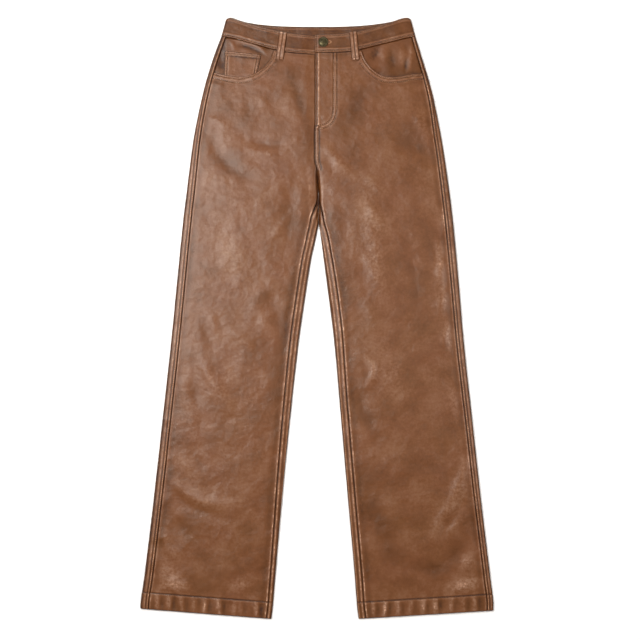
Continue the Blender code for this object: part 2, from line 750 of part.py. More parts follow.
def fly_shield(material):
    """The underlap behind the fly, from the right front's edge."""
    top = float(band_front("bottom", RIGHT, FLY_EDGE_X)) - SEAM

    def place(column, row):
        across, up = column / 4, row / 8
        x = mix(FLY_EDGE_X + SEAM, FLY_SHIELD_EDGE, across)
        low = FLY_SHIELD_BOTTOM + FLY_SHIELD_CORNER * (1 - np.sqrt(1 - (0.97 * across) ** 2))
        y = mix(low, top, up)
        return np.stack((x, y, LEFT.height(x, y) - LAID_IN), axis=-1)

    return net_object("fly_shield", 5, 9, place, FACING_WALL, material, flip=False)


def turned_hem(side, material):
    """The hem's turn-up, a flat ring inside the leg."""
    top_shares = np.linspace(0, 1, 10)
    turns = np.radians((45.0, 0.0, -45.0))
    floor_shares = np.linspace(0, 1, 4)
    runs = ([("top", share) for share in top_shares] + [("inner", angle) for angle in turns]
            + [("floor", share) for share in floor_shares] + [("outer", angle) for angle in -turns]
            + [("top", 0.0)])

    def point(run, up):
        kind, value = run
        level = np.array(mix(HEM_LEVEL, HEM_LEVEL + HEM_DEPTH, up))
        y = level
        for _ in range(4):
            radius = float(LOFT.read("edge", y)) / 2 - LAID_IN
            outer = float(side.outer(y)) - side.sign * LAID_IN
            inner = float(side.inner(y)) + side.sign * LAID_IN
            ends = outer - side.sign * radius, inner + side.sign * radius
            if kind == "top":
                x = mix(*ends, value)
            elif kind == "floor":
                x = mix(*ends[::-1], value)
            else:
                fold = inner if kind == "inner" else outer
                way = side.sign if kind == "inner" else -side.sign
                x = fold + way * radius * (1 - math.cos(value))
            y = side.hem(np.array(x), np.array(HEM_LEVEL)) + SEAM + (HEM_DEPTH - SEAM) * up
        middle = float(LOFT.read("edge", y)) / 2
        if kind == "top":
            return x, float(y), float(side.height(np.array(x), y)) - LAID_IN
        if kind == "floor":
            return x, float(y), LAID_IN
        return x, float(y), middle + radius * math.sin(value)

    def place(column, row):
        return np.array([point(runs[c], r / 2) for c, r in zip(column, row)])

    return net_object(f"hem_{side.name}", len(runs), 3, place, FACING_WALL, material,
                      flip=side is LEFT, ring=True)


def button(material):
    """A domed button on a shank that passes through the buttonhole to the underlap."""
    face = float(band_height(LEFT, np.array(BUTTON_X), np.array(BUTTON_Y)))
    under = face + SEAM
    foot = face - BAND_WALL
    rim = under + 1.0
    rings = [(0.0, under + BUTTON_DOME)]
    rings += [(BUTTON_RADIUS * math.sin(a), rim + (BUTTON_DOME - 1.0) * math.cos(a))
              for a in np.radians((18, 36, 54, 72, 90))]
    rings += [(BUTTON_RADIUS, under + 0.5), (BUTTON_RADIUS - 0.5, under),
              (BUTTON_SHANK_RADIUS, under), (BUTTON_SHANK_RADIUS, foot), (0.0, foot)]
    profile = bmesh.new()
    verts = [profile.verts.new((radius * MM, 0, z * MM)) for radius, z in rings]
    for a, b in zip(verts[:-1], verts[1:]):
        profile.edges.new((a, b))
    piece = mesh_object("button", profile, material)
    piece.location = (BUTTON_X * MM, BUTTON_Y * MM, 0)
    turn = piece.modifiers.new("Turn", "SCREW")
    turn.angle = math.tau
    turn.steps = turn.render_steps = 28
    turn.use_merge_vertices = True
    turn.merge_threshold = 0.00001
    return piece


def finish(name, colour, roughness, metallic=0.0):
    material = bpy.data.materials.new(name)
    material.use_nodes = True
    shader = material.node_tree.nodes["Principled BSDF"]
    shader.inputs["Base Color"].default_value = (*colour, 1.0)
    shader.inputs["Roughness"].default_value = roughness
    shader.inputs["Metallic"].default_value = metallic
    return material


def collection(name):
    made = bpy.data.collections.new(name)
    bpy.context.scene.collection.children.link(made)
    return made


for old in list(bpy.data.objects):
    bpy.data.objects.remove(old)

PARTS = collection("faux leather trousers")
CUTTERS = collection("cutters")

leather = finish("brown faux leather", (0.26, 0.125, 0.065), 0.5)
facing_leather = finish("brown faux leather facing", (0.22, 0.105, 0.055), 0.55)
brass = finish("antique brass", (0.12, 0.11, 0.05), 0.4, 1.0)

for each_side in SIDES:
    front_panel(each_side, leather)
    back_panel(each_side, leather)
    belt_loop(each_side, leather)
    pocket_facing(each_side, facing_leather)
    turned_hem(each_side, leather)
waistband(leather)
coin_pocket(leather)
fly_shield(facing_leather)
button(brass)
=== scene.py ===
"""Dresses a pair of brown faux leather trousers that lie flat, front up, on a pale table.

Sizes are in millimetres until a point is placed, and in metres after that. +X is the wearer's left,
+Y runs up the legs to the waist and +Z up from the table. A level is a height along the legs, on Y.
The tables of sizes repeat those of the solids, because each cloth lies on its own solid's form.
"""

from __future__ import annotations

import logging
import math
from dataclasses import dataclass
from enum import Enum

import bmesh
import bpy
import numpy as np
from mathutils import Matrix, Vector

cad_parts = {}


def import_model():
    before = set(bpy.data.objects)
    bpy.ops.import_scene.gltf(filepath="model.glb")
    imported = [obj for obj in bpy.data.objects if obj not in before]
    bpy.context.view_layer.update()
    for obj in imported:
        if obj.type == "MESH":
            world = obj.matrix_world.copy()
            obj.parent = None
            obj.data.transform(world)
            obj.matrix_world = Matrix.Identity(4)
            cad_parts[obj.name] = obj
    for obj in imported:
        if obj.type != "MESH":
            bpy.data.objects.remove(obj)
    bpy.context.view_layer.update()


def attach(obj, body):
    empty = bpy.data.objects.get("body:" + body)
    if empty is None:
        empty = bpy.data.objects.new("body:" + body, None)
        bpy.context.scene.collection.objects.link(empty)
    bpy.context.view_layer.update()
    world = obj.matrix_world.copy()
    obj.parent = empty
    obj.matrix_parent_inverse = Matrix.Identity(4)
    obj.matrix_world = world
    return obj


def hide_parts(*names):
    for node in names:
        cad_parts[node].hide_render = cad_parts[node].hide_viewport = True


LOG = logging.getLogger("trousers")
MM = 0.001
Array = np.ndarray
Object = bpy.types.Object
Material = bpy.types.Material
Pair = tuple[float, float]
Numbers = tuple[float, ...]

# Levels and lengths shared by the pieces
SEAM = 0.3  # the gap between two pieces
HALF_LENGTH = 540.0
HEM_LEVEL = -532.0
HEM_FADE = 120.0  # over which the rows turn from the hem's slope to level
HEM_DEPTH = 30.0
HEM_HELD = 40.0  # up to here the net's rows follow the hem
CROTCH_LEVEL = 222.0
CREVICE_TOP = 285.0
CREVICE_WINDOW = (165.0, 185.0, 251.0, 275.0)  # the levels where it starts, is full, wanes and ends
CREVICE_DEPTH = 2.8
CREVICE_HALF = 3.0
WAIST_LEVEL = 478.0
WAIST_FADE_LEVEL = 330.0
SLACK_FADE = 60.0  # below the waist, which holds the cloth even
BAND_SIDE_BOTTOM = 506.3
CROTCH_X = 3.2
CROTCH_LIFT = 30.0
CROTCH_SLACK = 1.3
CROWN_REACH = 40.0
CALM_REACH = 12.0
FLY_EDGE_X = -3.2
FLY_LAP = 1.2
FLY_LAP_REACH = 16.0
FLY_FOOT = 345.0
LAID_IN = 1.5  # how far inside the outer face a covered piece lies
FACING_BOTTOM = 416.0
BACK_DIP = 16.0
BACK_BAND_HEIGHT = 34.5
BAND_PROUD = 0.6
BAND_WALL = 2.2
BAND_DIP_REACH = 26.0
UNDERLAP_END = 27.0
BUTTON_X, BUTTON_Y = 11.6, 495.5
CLOTH_WALL = 1.0
SETTLING_ROUNDS = 4  # for X and Y of a sloping net's places, which depend on each other
# Tones: how much lighter (more than 0) or darker (less) a place is painted, by wear and by painted shade
# and highlight
HEM_THREAD = -0.7
# Painted shade where the cloth turns down round a fold
FOLD_SHADE = 0.9
# Painted shade in the crotch's crevice
CREVICE_SHADE = 1.6
CREASE_WEAR_AND_SHADE = 0.14  # for each mm of a crease's height: ridges lighter, partly wear and partly painted highlight, and troughs darker by painted shade


class Table:
    """A short table with named columns. Its first column, in rising order, says where a row holds."""

    def __init__(self, columns: str, rows: tuple[Numbers, ...]) -> None:
        """Keep the rows by column name.

        Args:
            columns: The columns' names, the place first, with spaces between them.
            rows: One row for each place.
        """
        values = np.array(rows, dtype=float).T
        self.places = values[0]
        self.columns = dict(zip(columns.split(), values))

    def read(self, column: str, where: Array | float) -> Array:
        """Read a column along a smooth line that never overshoots its rows.

        Args:
            column: The column's name.
            where: The places to read it at.

        Returns:
            The column's value at each place.
        """
        xs, ys = self.places, self.columns[column]
        gaps = np.diff(xs)
        slopes = np.diff(ys) / gaps
        before, after = slopes[:-1], slopes[1:]
        turns = before * after <= 0
        mean = 2 * before * after / np.where(turns, 1.0, before + after)
        tangents = np.concatenate(([slopes[0]], np.where(turns, 0.0, mean), [slopes[-1]]))
        where = np.clip(where, xs[0], xs[-1])
        row = np.clip(np.searchsorted(xs, where) - 1, 0, len(gaps) - 1)
        t = (where - xs[row]) / gaps[row]
        start = (1 + 2 * t) * (1 - t) ** 2 * ys[row] + t * (1 - t) ** 2 * gaps[row] * tangents[row]
        end = t * t * (3 - 2 * t) * ys[row + 1] - t * t * (1 - t) * gaps[row] * tangents[row + 1]
        return start + end


# Half widths of the silhouette, from the middle out
OUTLINE = Table("level right left", (
    (-540, 317.5, 317.5), (-516, 317, 317.5), (-469, 310.5, 312.3), (-326, 293.2, 295.1),
    (-182, 277.1, 279.4), (-39, 261.3, 263.9), (68.6, 250.7, 254.7), (176, 239.9, 244.6),
    (248, 231.1, 235.6), (320, 221.7, 224.6), (391, 207.5, 210.7), (427, 198.5, 201.6),
    (463, 187.4, 190.6), (492, 177, 181.7), (506, 171.6, 177.3), (531, 164.7, 170.7),
    (536.4, 163, 169.1), (540, 158.5, 164),
))
# The two inner folds below the crotch
LEG_GAP = Table("level right left", (
    (-540, -81.5, 75), (-516, -78.6, 72.1), (-469, -74.8, 68.6), (-326, -62.3, 56),
    (-182, -47.9, 43.5), (-39, -31.8, 30.9), (32.7, -21.5, 22), (104, -10.3, 12.7),
    (154.6, 0.3, 6), (174, CROTCH_X - SEAM / 2, CROTCH_X + SEAM / 2),
    (CROTCH_LEVEL, CROTCH_X - SEAM / 2, CROTCH_X + SEAM / 2),
))
# The edge where the left front meets the right one, and the seam below the fly
CENTRE_FRONT = Table("level x", (
    (CROTCH_LEVEL, CROTCH_X), (252, 1.1), (266, 0), (CREVICE_TOP, -4.4), (337, -4.4),
    (350, FLY_EDGE_X), (HALF_LENGTH, FLY_EDGE_X),
))
# How wide the back's strip is on top, beside each fold
OUTSEAM = Table("level right left", (
    (-540, 15, 11.5), (-487, 15, 11.5), (176, 14.6, 14), (320, 12, 12.5),
    (391, 10, 9), (442, 9.5, 8), (490, 9, 7.5), (506, 8.5, 7),
))
INSEAM = Table("level right left", (
    (-540, 9, 13), (-487, 9, 13), (-147, 14.3, 13.8), (33, 16, 17),
    (142, 16, 13.7), (174, 14.3, 9.5), (198, 6.6, 4.6), (214, 0.7, 0.6),
    (CROTCH_LEVEL, 0, 0),
))
# Height of the cloth over a fold, the rise in from it, and how wide an inner fold's shoulder is
LOFT = Table("level edge rise shoulder", (
    (-540, 5.8, 0.3, 2.9), (-505, 6, 0.8, 3), (-450, 6.6, 2.2, 3.3), (-300, 7, 3.2, 3.5),
    (0, 7.2, 3.2, 3.6), (80, 7.2, 3, 4.6), (160, 7.2, 3, 8), (CROTCH_LEVEL, 7.2, 2.8, 10),
    (CREVICE_TOP, 7.2, 2.8, 10), (430, 7, 2.6, 10), (WAIST_LEVEL, 6.8, 1.7, 10),
    (510, 6.8, 0.9, 10), (HALF_LENGTH, 6.4, 0.3, 10),
))
# The waistband's edges, across the garment
BAND_FRONT = Table("x bottom top", (
    (-172, 506.5, 540), (-155, 503.6, 539.5), (-140, 500, 534.8), (-119, 494, 528.3),
    (-75, 482.2, 517), (-56, 478, 513), (-30, 475.2, 509.8), (FLY_EDGE_X, 473.8, 507.5),
))
BAND_FRONT_LEFT = Table("x bottom top", (
    (FLY_EDGE_X, 476.6, 508.8), (30, 477, 510), (54, 478.2, 511.7), (75, 482, 515.2),
    (112, 491, 525), (140, 498, 533.8), (158, 502.4, 539.2), (177, 506.5, 540),
))
HEM_CORNERS = {"right": (-521.5, -540), "left": (-525, -540)}
# Pocket mouths, from the band out to the side seam
MOUTH = {
    "right": ((-75.5, 486), (-78, 477), (-82.5, 465.5), (-91, 454.5), (-108, 440.7),
              (-127, 434), (-140.6, 432.6), (-157, 434.8), (-175, 438.7), (-187, 441.4)),
    "left": ((79, 486), (81, 477.5), (88, 461), (99, 447.5), (113, 437.5),
             (129, 432.8), (150, 434), (170, 437.4), (190, 439.2)),
}
# The line between the two rows that hold the fly's facing
FLY_CURVE = ((33, 480), (33, 455), (33, 430), (33, 405), (32.9, 383), (31.5, 366),
             (25.5, 352.5), (13, 344.5), (-3.2, 342))
COIN_TOP_LEVELS = (479.8, 473.0)
COIN_BOTTOM = 424.0
COIN_TOP_X = (-165.4, -99.6)
COIN_BOTTOM_X = (-167.4, -110.0)
LOOPS = {"right": ((-60.0, 512.6), (-66.6, 464.6)), "left": ((65.0, 513.4), (70.0, 463.8))}

# Creases: start, bend, end, half width, height
CREASES = (
    # from the waist to the crotch
    ((-60, 459), (-36, 404), (-9, 335), 12, -0.5),
    ((80, 414), (76, 368), (40, 322), 16, -0.8),
    ((-207, 372), (-180, 354), (-152, 337), 5, 0.9),
    ((-132, 384), (-121, 375), (-109, 366), 14, -1),
    # round the hips
    ((-142, 332), (-98, 313), (-50, 318), 11, -2),
    ((-130, 308), (-100, 299), (-70, 299), 10, 1.4),
    ((-188, 334), (-164, 280), (-108, 250), 13, -2.1),
    ((14, 318), (36, 282), (72, 247), 9, 1.7),
    ((136, 318), (176, 306), (216, 284), 13, -1.8),
    ((174, 374), (192, 342), (206, 303), 11, 2),
    ((78, 264), (100, 243), (122, 222), 8, 1),
    ((88, 212), (105, 180), (122, 148), 8, 1),
    ((161, 225), (182, 212), (203, 199), 9, -1),
    # down the thighs
    ((18, 262), (33, 130), (48, -58), 14, 0.5),
    ((84, -68), (102, -92), (89, -120), 5.5, 2),
    ((216, 196), (222, 176), (219, 160), 5.5, 1.3),
    ((212, 150), (220, 128), (228, 112), 7, 1.6),
    ((228, 100), (222, 82), (228, 60), 7, 1.6),
    ((231, 46), (225, 26), (231, 4), 7.5, 1.7),
    ((237, -8), (229, -34), (237, -60), 7.5, 1.6),
    ((205, 132), (213, 106), (209, 84), 8, -0.9),
    ((-42, 264), (-49, 190), (-54, 100), 13, -1.3),
    ((86, 214), (104, 130), (118, 48), 15, 1.6),
    ((-168, 225), (-127, 212), (-86, 199), 18, 1),
    ((-86, 138), (-66, 162), (-47, 186), 7, 1.2),
    ((-102, 110), (-53, 71), (-37, 40), 8, 1),
    ((-118, 29), (-95, -6), (-73, -41), 7, 1),
    ((-92, 60), (-70, -4), (-57, -80), 12, -1.1),
    ((81, 119), (99, 86), (117, 52), 8, 1),
    ((81, 40), (92, 17), (104, -5), 8, 1),
    ((171, 119), (176, 55), (181, -9), 9, -1),
    ((219, 119), (219, 55), (219, -9), 8, 0.9),
    # round the knees
    ((-197, 14), (-184, -10), (-172, -35), 7, 1),
    ((-204, -9), (-193, -36), (-181, -63), 8, -1),
    ((-159, -19), (-135, -38), (-111, -57), 7, 1),
    ((-215, -66), (-182, -118), (-144, -178), 13, 1.8),
    ((-213, -69), (-190, -113), (-167, -143), 7, 0.7),
    ((-226, -111), (-215, -138), (-205, -165), 8, -1),
    ((-247, -99), (-230, -161), (-213, -224), 10, 1.2),
    ((62, -88), (84, -162), (114, -218), 12, -2),
    # round the shins
    ((-230, -232), (-215, -255), (-201, -278), 8, -1),
    ((-262, -280), (-216, -326), (-144, -330), 11, 2.6),
    ((-266, -302), (-228, -332), (-180, -354), 11, -1.7),
    ((-264, -350), (-242, -378), (-214, -406), 13, -1.3),
    ((-280, -374), (-266, -410), (-246, -436), 10, 1.8),
    ((-105, -444), (-95, -457), (-84, -469), 12, -1),
    ((-285, -466), (-255, -475), (-225, -482), 9, 1.8),
    ((233, -202), (231, -244), (229, -286), 9, -1.2),
    ((66, -286), (96, -362), (156, -468), 14, -2),
    ((260, -186), (262, -282), (194, -410), 11, 2.6),
    ((275, -315), (237, -365), (217, -403), 8, -1.6),
    ((267, -345), (250, -368), (233, -390), 6, 1.3),
    ((144, -422), (216, -446), (276, -372), 13, -1.8),
    ((275, -424), (267, -439), (258, -453), 8, 1.7),
    ((233, -482), (263, -478), (292, -474), 8, 1.4),
)
FACING_CREASES = {
    "right": (
        ((-153, 500), (-120, 494), (-88, 474), 3.2, 1),
        ((-140, 504), (-112, 499), (-84, 486), 3.5, -0.9),
        ((-142, 490), (-118, 486), (-94, 474), 3.6, -1.1),
        ((-155, 499), (-151, 491), (-146, 482), 2.8, 0.6),
        ((-163, 498), (-166, 489), (-168, 478), 3, -0.6),
        ((-170.5, 484), (-171, 465), (-171.5, 446), 7.5, -1.7),
    ),
    "left": (
        ((159, 468), (159.5, 455), (158, 440), 3, -0.8),
        ((168, 496), (169, 470), (165, 442), 4.2, 0.9),
        ((150, 492), (153, 472), (150, 452), 5.5, 0.8),
        ((112, 488), (104, 474), (96, 462), 6.5, -0.8),
        ((122, 490), (118, 474), (126, 456), 5.5, 0.6),
        ((136, 486), (134, 466), (140, 448), 5.5, -0.5),
    ),
}
# Painted shade (tone below 0) and painted highlight (tone above 0), in broad strokes: start, bend, end,
# half width, tone
PAINTED_SHADE_AND_HIGHLIGHT = (
    ((-62, 460), (-36, 408), (-9, 310), 9, -0.45),
    ((90, 440), (70, 382), (42, 316), 14, -0.3),
    ((20, 246), (40, 122), (61, -48), 13, -0.35),
    ((-22, 200), (-46, 60), (-62, -60), 8, -0.25),
    ((-72, -70), (-78, -120), (-92, -190), 13, -0.25),
    ((-214, 240), (-230, 100), (-244, -40), 6, -0.3),
    ((-196, 396), (-202, 350), (-216, 300), 7, -0.25),
    ((-180, 300), (-128, 268), (-96, 214), 16, -0.2),
    ((-250, -180), (-262, -290), (-276, -400), 8, -0.25),
    ((150, 350), (176, 330), (196, 280), 14, -0.25),
    ((84, -250), (110, -350), (160, -440), 14, -0.18),
    ((176, -470), (236, -440), (272, -380), 14, -0.13),
    ((-160, -455), (-190, -470), (-240, -468), 16, -0.25),
    ((-150, 330), (-110, 318), (-60, 326), 16, 0.2),
    ((-190, 190), (-150, 120), (-140, 40), 24, 0.2),
    ((-170, -60), (-150, -110), (-120, -160), 20, 0.2),
    ((70, 236), (92, 190), (126, 150), 12, 0.2),
    ((84, 150), (104, 90), (112, 20), 13, 0.2),
    ((100, -20), (130, -90), (150, -160), 20, 0.2),
    ((84, -68), (102, -92), (90, -118), 4.5, 0.3),
    ((78, -84), (86, -98), (80, -114), 5, -0.3),
    ((222, 196), (226, 178), (222, 160), 6, 0.4),
    ((213, 132), (219, 106), (222, 84), 8, 0.5),
    ((222, 62), (229, 42), (226, 20), 7, 0.45),
    ((233, 0), (237, -30), (241, -60), 6, 0.5),
    ((236, -110), (246, -150), (250, -190), 7, 0.35),
    ((272, -292), (250, -344), (214, -394), 10, 0.25),
    ((258, -420), (272, -436), (290, -440), 10, 0.3),
    ((236, -492), (268, -478), (300, -474), 14, 0.5),
    ((-286, -432), (-262, -462), (-232, -478), 15, 0.45),
    ((-284, -486), (-262, -480), (-232, -486), 6, 0.4),
    ((-160, -474), (-140, -478), (-112, -470), 11, 0.4),
    ((-262, -232), (-240, -262), (-190, -290), 12, 0.25),
    ((-240, -292), (-206, -306), (-160, -310), 8, 0.2),
)
# Dents in the underside, which lies on the table
UNDER_CREASES = (
    ((-190, 330), (-150, 292), (-96, 262), 12, 0.8),
    ((-150, 420), (-110, 396), (-60, 388), 14, 0.7),
    ((60, 398), (112, 380), (166, 392), 13, 0.8),
    ((70, 250), (118, 232), (170, 246), 12, 0.8),
    ((-60, 200), (-66, 120), (-78, 40), 13, 0.9),
    ((70, 160), (84, 60), (100, -40), 14, 0.9),
    ((-220, 60), (-180, 20), (-120, 4), 11, 0.7),
    ((-240, -120), (-190, -150), (-130, -150), 12, 0.8),
    ((110, -110), (160, -150), (230, -150), 12, 0.8),
    ((-250, -300), (-200, -330), (-120, -320), 13, 0.9),
    ((110, -300), (170, -350), (250, -330), 13, 0.9),
    ((-270, -440), (-220, -452), (-150, -440), 12, 0.7),
    ((120, -440), (180, -462), (260, -440), 12, 0.7),
)
# The cloth's slow unevenness: height, then across and along a wave's length, its sway and the sway's length
SLACK_WAVES = ((0.3, 17.0, 1.4, 43.0, 31.0, 0.9, 29.0), (0.09, 5.1, 2.0, 13.0, 7.7, 1.7, 11.0))
HEM_PUCKERS = {
    "right": (-287, -266.6, -241.5, -221, -202, -174.3, -150, -137.6, -108),
    "left": (101.2, 121, 147, 167.2, 190.5, 214.5, 239.4, 263.4, 284),
}
PUCKER_HELD = 0.25  # the share of its height that the hem's edge and its stitching leave a pucker
PUCKER_FADE = 5.0  # above the stitching
PUCKER_LEAN = 3.0
PUCKER_HALF, PUCKER_HEIGHT, PUCKER_VARIES = 3.4, 1.2, 0.45
TROUGH_OFF, TROUGH_HALF, TROUGH_SHARE = 8.5, 3.8, 0.7  # the trough beside each pucker


def ease(t: Array | float) -> Array:
    """Give a smooth step from 0 to 1."""
    t = np.clip(t, 0.0, 1.0)
    return t * t * (3 - 2 * t)


def quarter_round(t: Array) -> Array:
    """Give the height of a quarter ellipse, t of the way in from its upright end."""
    return np.sqrt(1 - (1 - np.clip(t, 0.0, 1.0)) ** 2)


def spread(distance: Array, reach: float) -> Array:
    """Give how far the cloth has come up to its full height at a distance in from a fold."""
    return 1 - np.exp(-np.maximum(distance, 0.0) / reach)


def hump(distance: Array, half_width: float) -> Array:
    """Give a smooth hump, 1 high, at a distance from its middle."""
    return np.exp(-((distance / half_width) ** 2))


def mix(a: Array | float, b: Array | float, t: Array | float) -> Array:
    """Give the value t of the way from a to b."""
    return a + (b - a) * t


def smooth_path(points: tuple[Pair, ...], steps: int) -> Array:
    """Lay a closely spaced path through a few points.

    Args:
        points: The places it passes through.
        steps: The steps between two of them.

    Returns:
        The path, one place a row.
    """
    places = np.array(points, dtype=float)
    tangents = np.gradient(places, axis=0)
    path = []
    for k in range(len(places) - 1):
        for t in np.arange(steps) / steps:
            path.append((1 + 2 * t) * (1 - t) ** 2 * places[k] + t * (1 - t) ** 2 * tangents[k]
                        + t * t * (3 - 2 * t) * places[k + 1] - t * t * (1 - t) * tangents[k + 1])
    return np.array(path + [places[-1]])


def lengths_along(path: Array) -> Array:
    """Give the length of a path up to each of its places."""
    return np.concatenate(([0.0], np.cumsum(np.linalg.norm(np.diff(path, axis=0), axis=1))))


def at_lengths(path: Array, lengths: Array) -> Array:
    """Give the places on a path at some lengths along it."""
    run = lengths_along(path)
    return np.stack([np.interp(lengths, run, path[:, k]) for k in range(path.shape[1])], axis=-1)


def shifted(path: Array, by: float) -> Array:
    """Move a path in the plane sideways.

    Args:
        path: The path, one place a row.
        by: The distance, to the left of its run where it is more than 0.

    Returns:
        The moved path.
    """
    run = np.gradient(path, axis=0)
    run /= np.linalg.norm(run, axis=1, keepdims=True)
    return path + by * np.stack((-run[:, 1], run[:, 0]), axis=-1)


def off_path(path: Array, x: Array, y: Array) -> tuple[Array, Array]:
    """Measure how far places lie from a path.

    Args:
        path: The path, one place a row.
        x: The places' X.
        y: The places' Y.

    Returns:
        The distance, and the share of the path's steps where it is nearest.
    """
    nearest = np.full(x.shape, 1e9)
    along = np.zeros(x.shape)
    points = np.stack((x, y), axis=-1)
    for step, (a, b) in enumerate(zip(path[:-1], path[1:])):
        run = b - a
        t = np.clip(((points - a) @ run) / (run @ run), 0, 1)
        distance = np.linalg.norm(points - a - t[..., None] * run, axis=-1)
        closer = distance < nearest
        nearest = np.where(closer, distance, nearest)
        along = np.where(closer, (step + t) / (len(path) - 1), along)
    return nearest, along


@dataclass(frozen=True)
class Crease:
    """One soft trough or ridge, drawn through three places."""

    start: Pair
    bend: Pair
    end: Pair
    half_width: float
    height: float
    steps: int = 10
    reach: float = 2.6  # half widths, past which it has died out
    taper: Pair = (0.04, 0.92)  # where its ends start on a half wave, and the run between

    def lift(self, x: Array, y: Array) -> Array:
        """Draw the crease over some places.

        Args:
            x: The places' X.
            y: The places' Y.

        Returns:
            What it adds to the cloth's height at each.
        """
        start, bend, end = (np.array(p, dtype=float) for p in (self.start, self.bend, self.end))
        control = 2 * bend - (start + end) / 2
        t = np.linspace(0, 1, self.steps + 1)[:, None]
        line = (1 - t) ** 2 * start + 2 * t * (1 - t) * control + t * t * end
        far = self.reach * self.half_width
        low, high = line.min(axis=0) - far, line.max(axis=0) + far
        near = (x > low[0]) & (x < high[0]) & (y > low[1]) & (y < high[1])
        total = np.zeros(np.shape(x))
        if near.any():
            distance, along = off_path(line, x[near], y[near])
            strength = np.sin(np.pi * (self.taper[0] + self.taper[1] * along))
            total[near] = self.height * strength * hump(distance, self.half_width)
        return total


def creased(rows: tuple, x: Array, y: Array) -> Array:
    """Give what a table of creases adds to the height at each place."""
    x, y = np.broadcast_arrays(np.asarray(x, dtype=float), np.asarray(y, dtype=float))
    return sum(Crease(*row).lift(x, y) for row in rows)


def slack(x: Array, y: Array) -> Array:
    """Give the slow unevenness of thick cloth that has been folded and laid out again."""
    return sum(height * np.sin(x / across + sway * np.sin(y / sway_length))
               * np.sin(y / along + lean * np.sin(x / lean_length))
               for height, across, sway, sway_length, along, lean, lean_length in SLACK_WAVES)


class Leg(Enum):
    """The wearer's right and left, by the way that each lies from the middle."""

    RIGHT = -1
    LEFT = 1

    @property
    def sign(self) -> int:
        """Give -1 on the right and 1 on the left."""
        return self.value

    @property
    def word(self) -> str:
        """Give the side's name, as the tables and the nodes use it."""
        return self.name.lower()


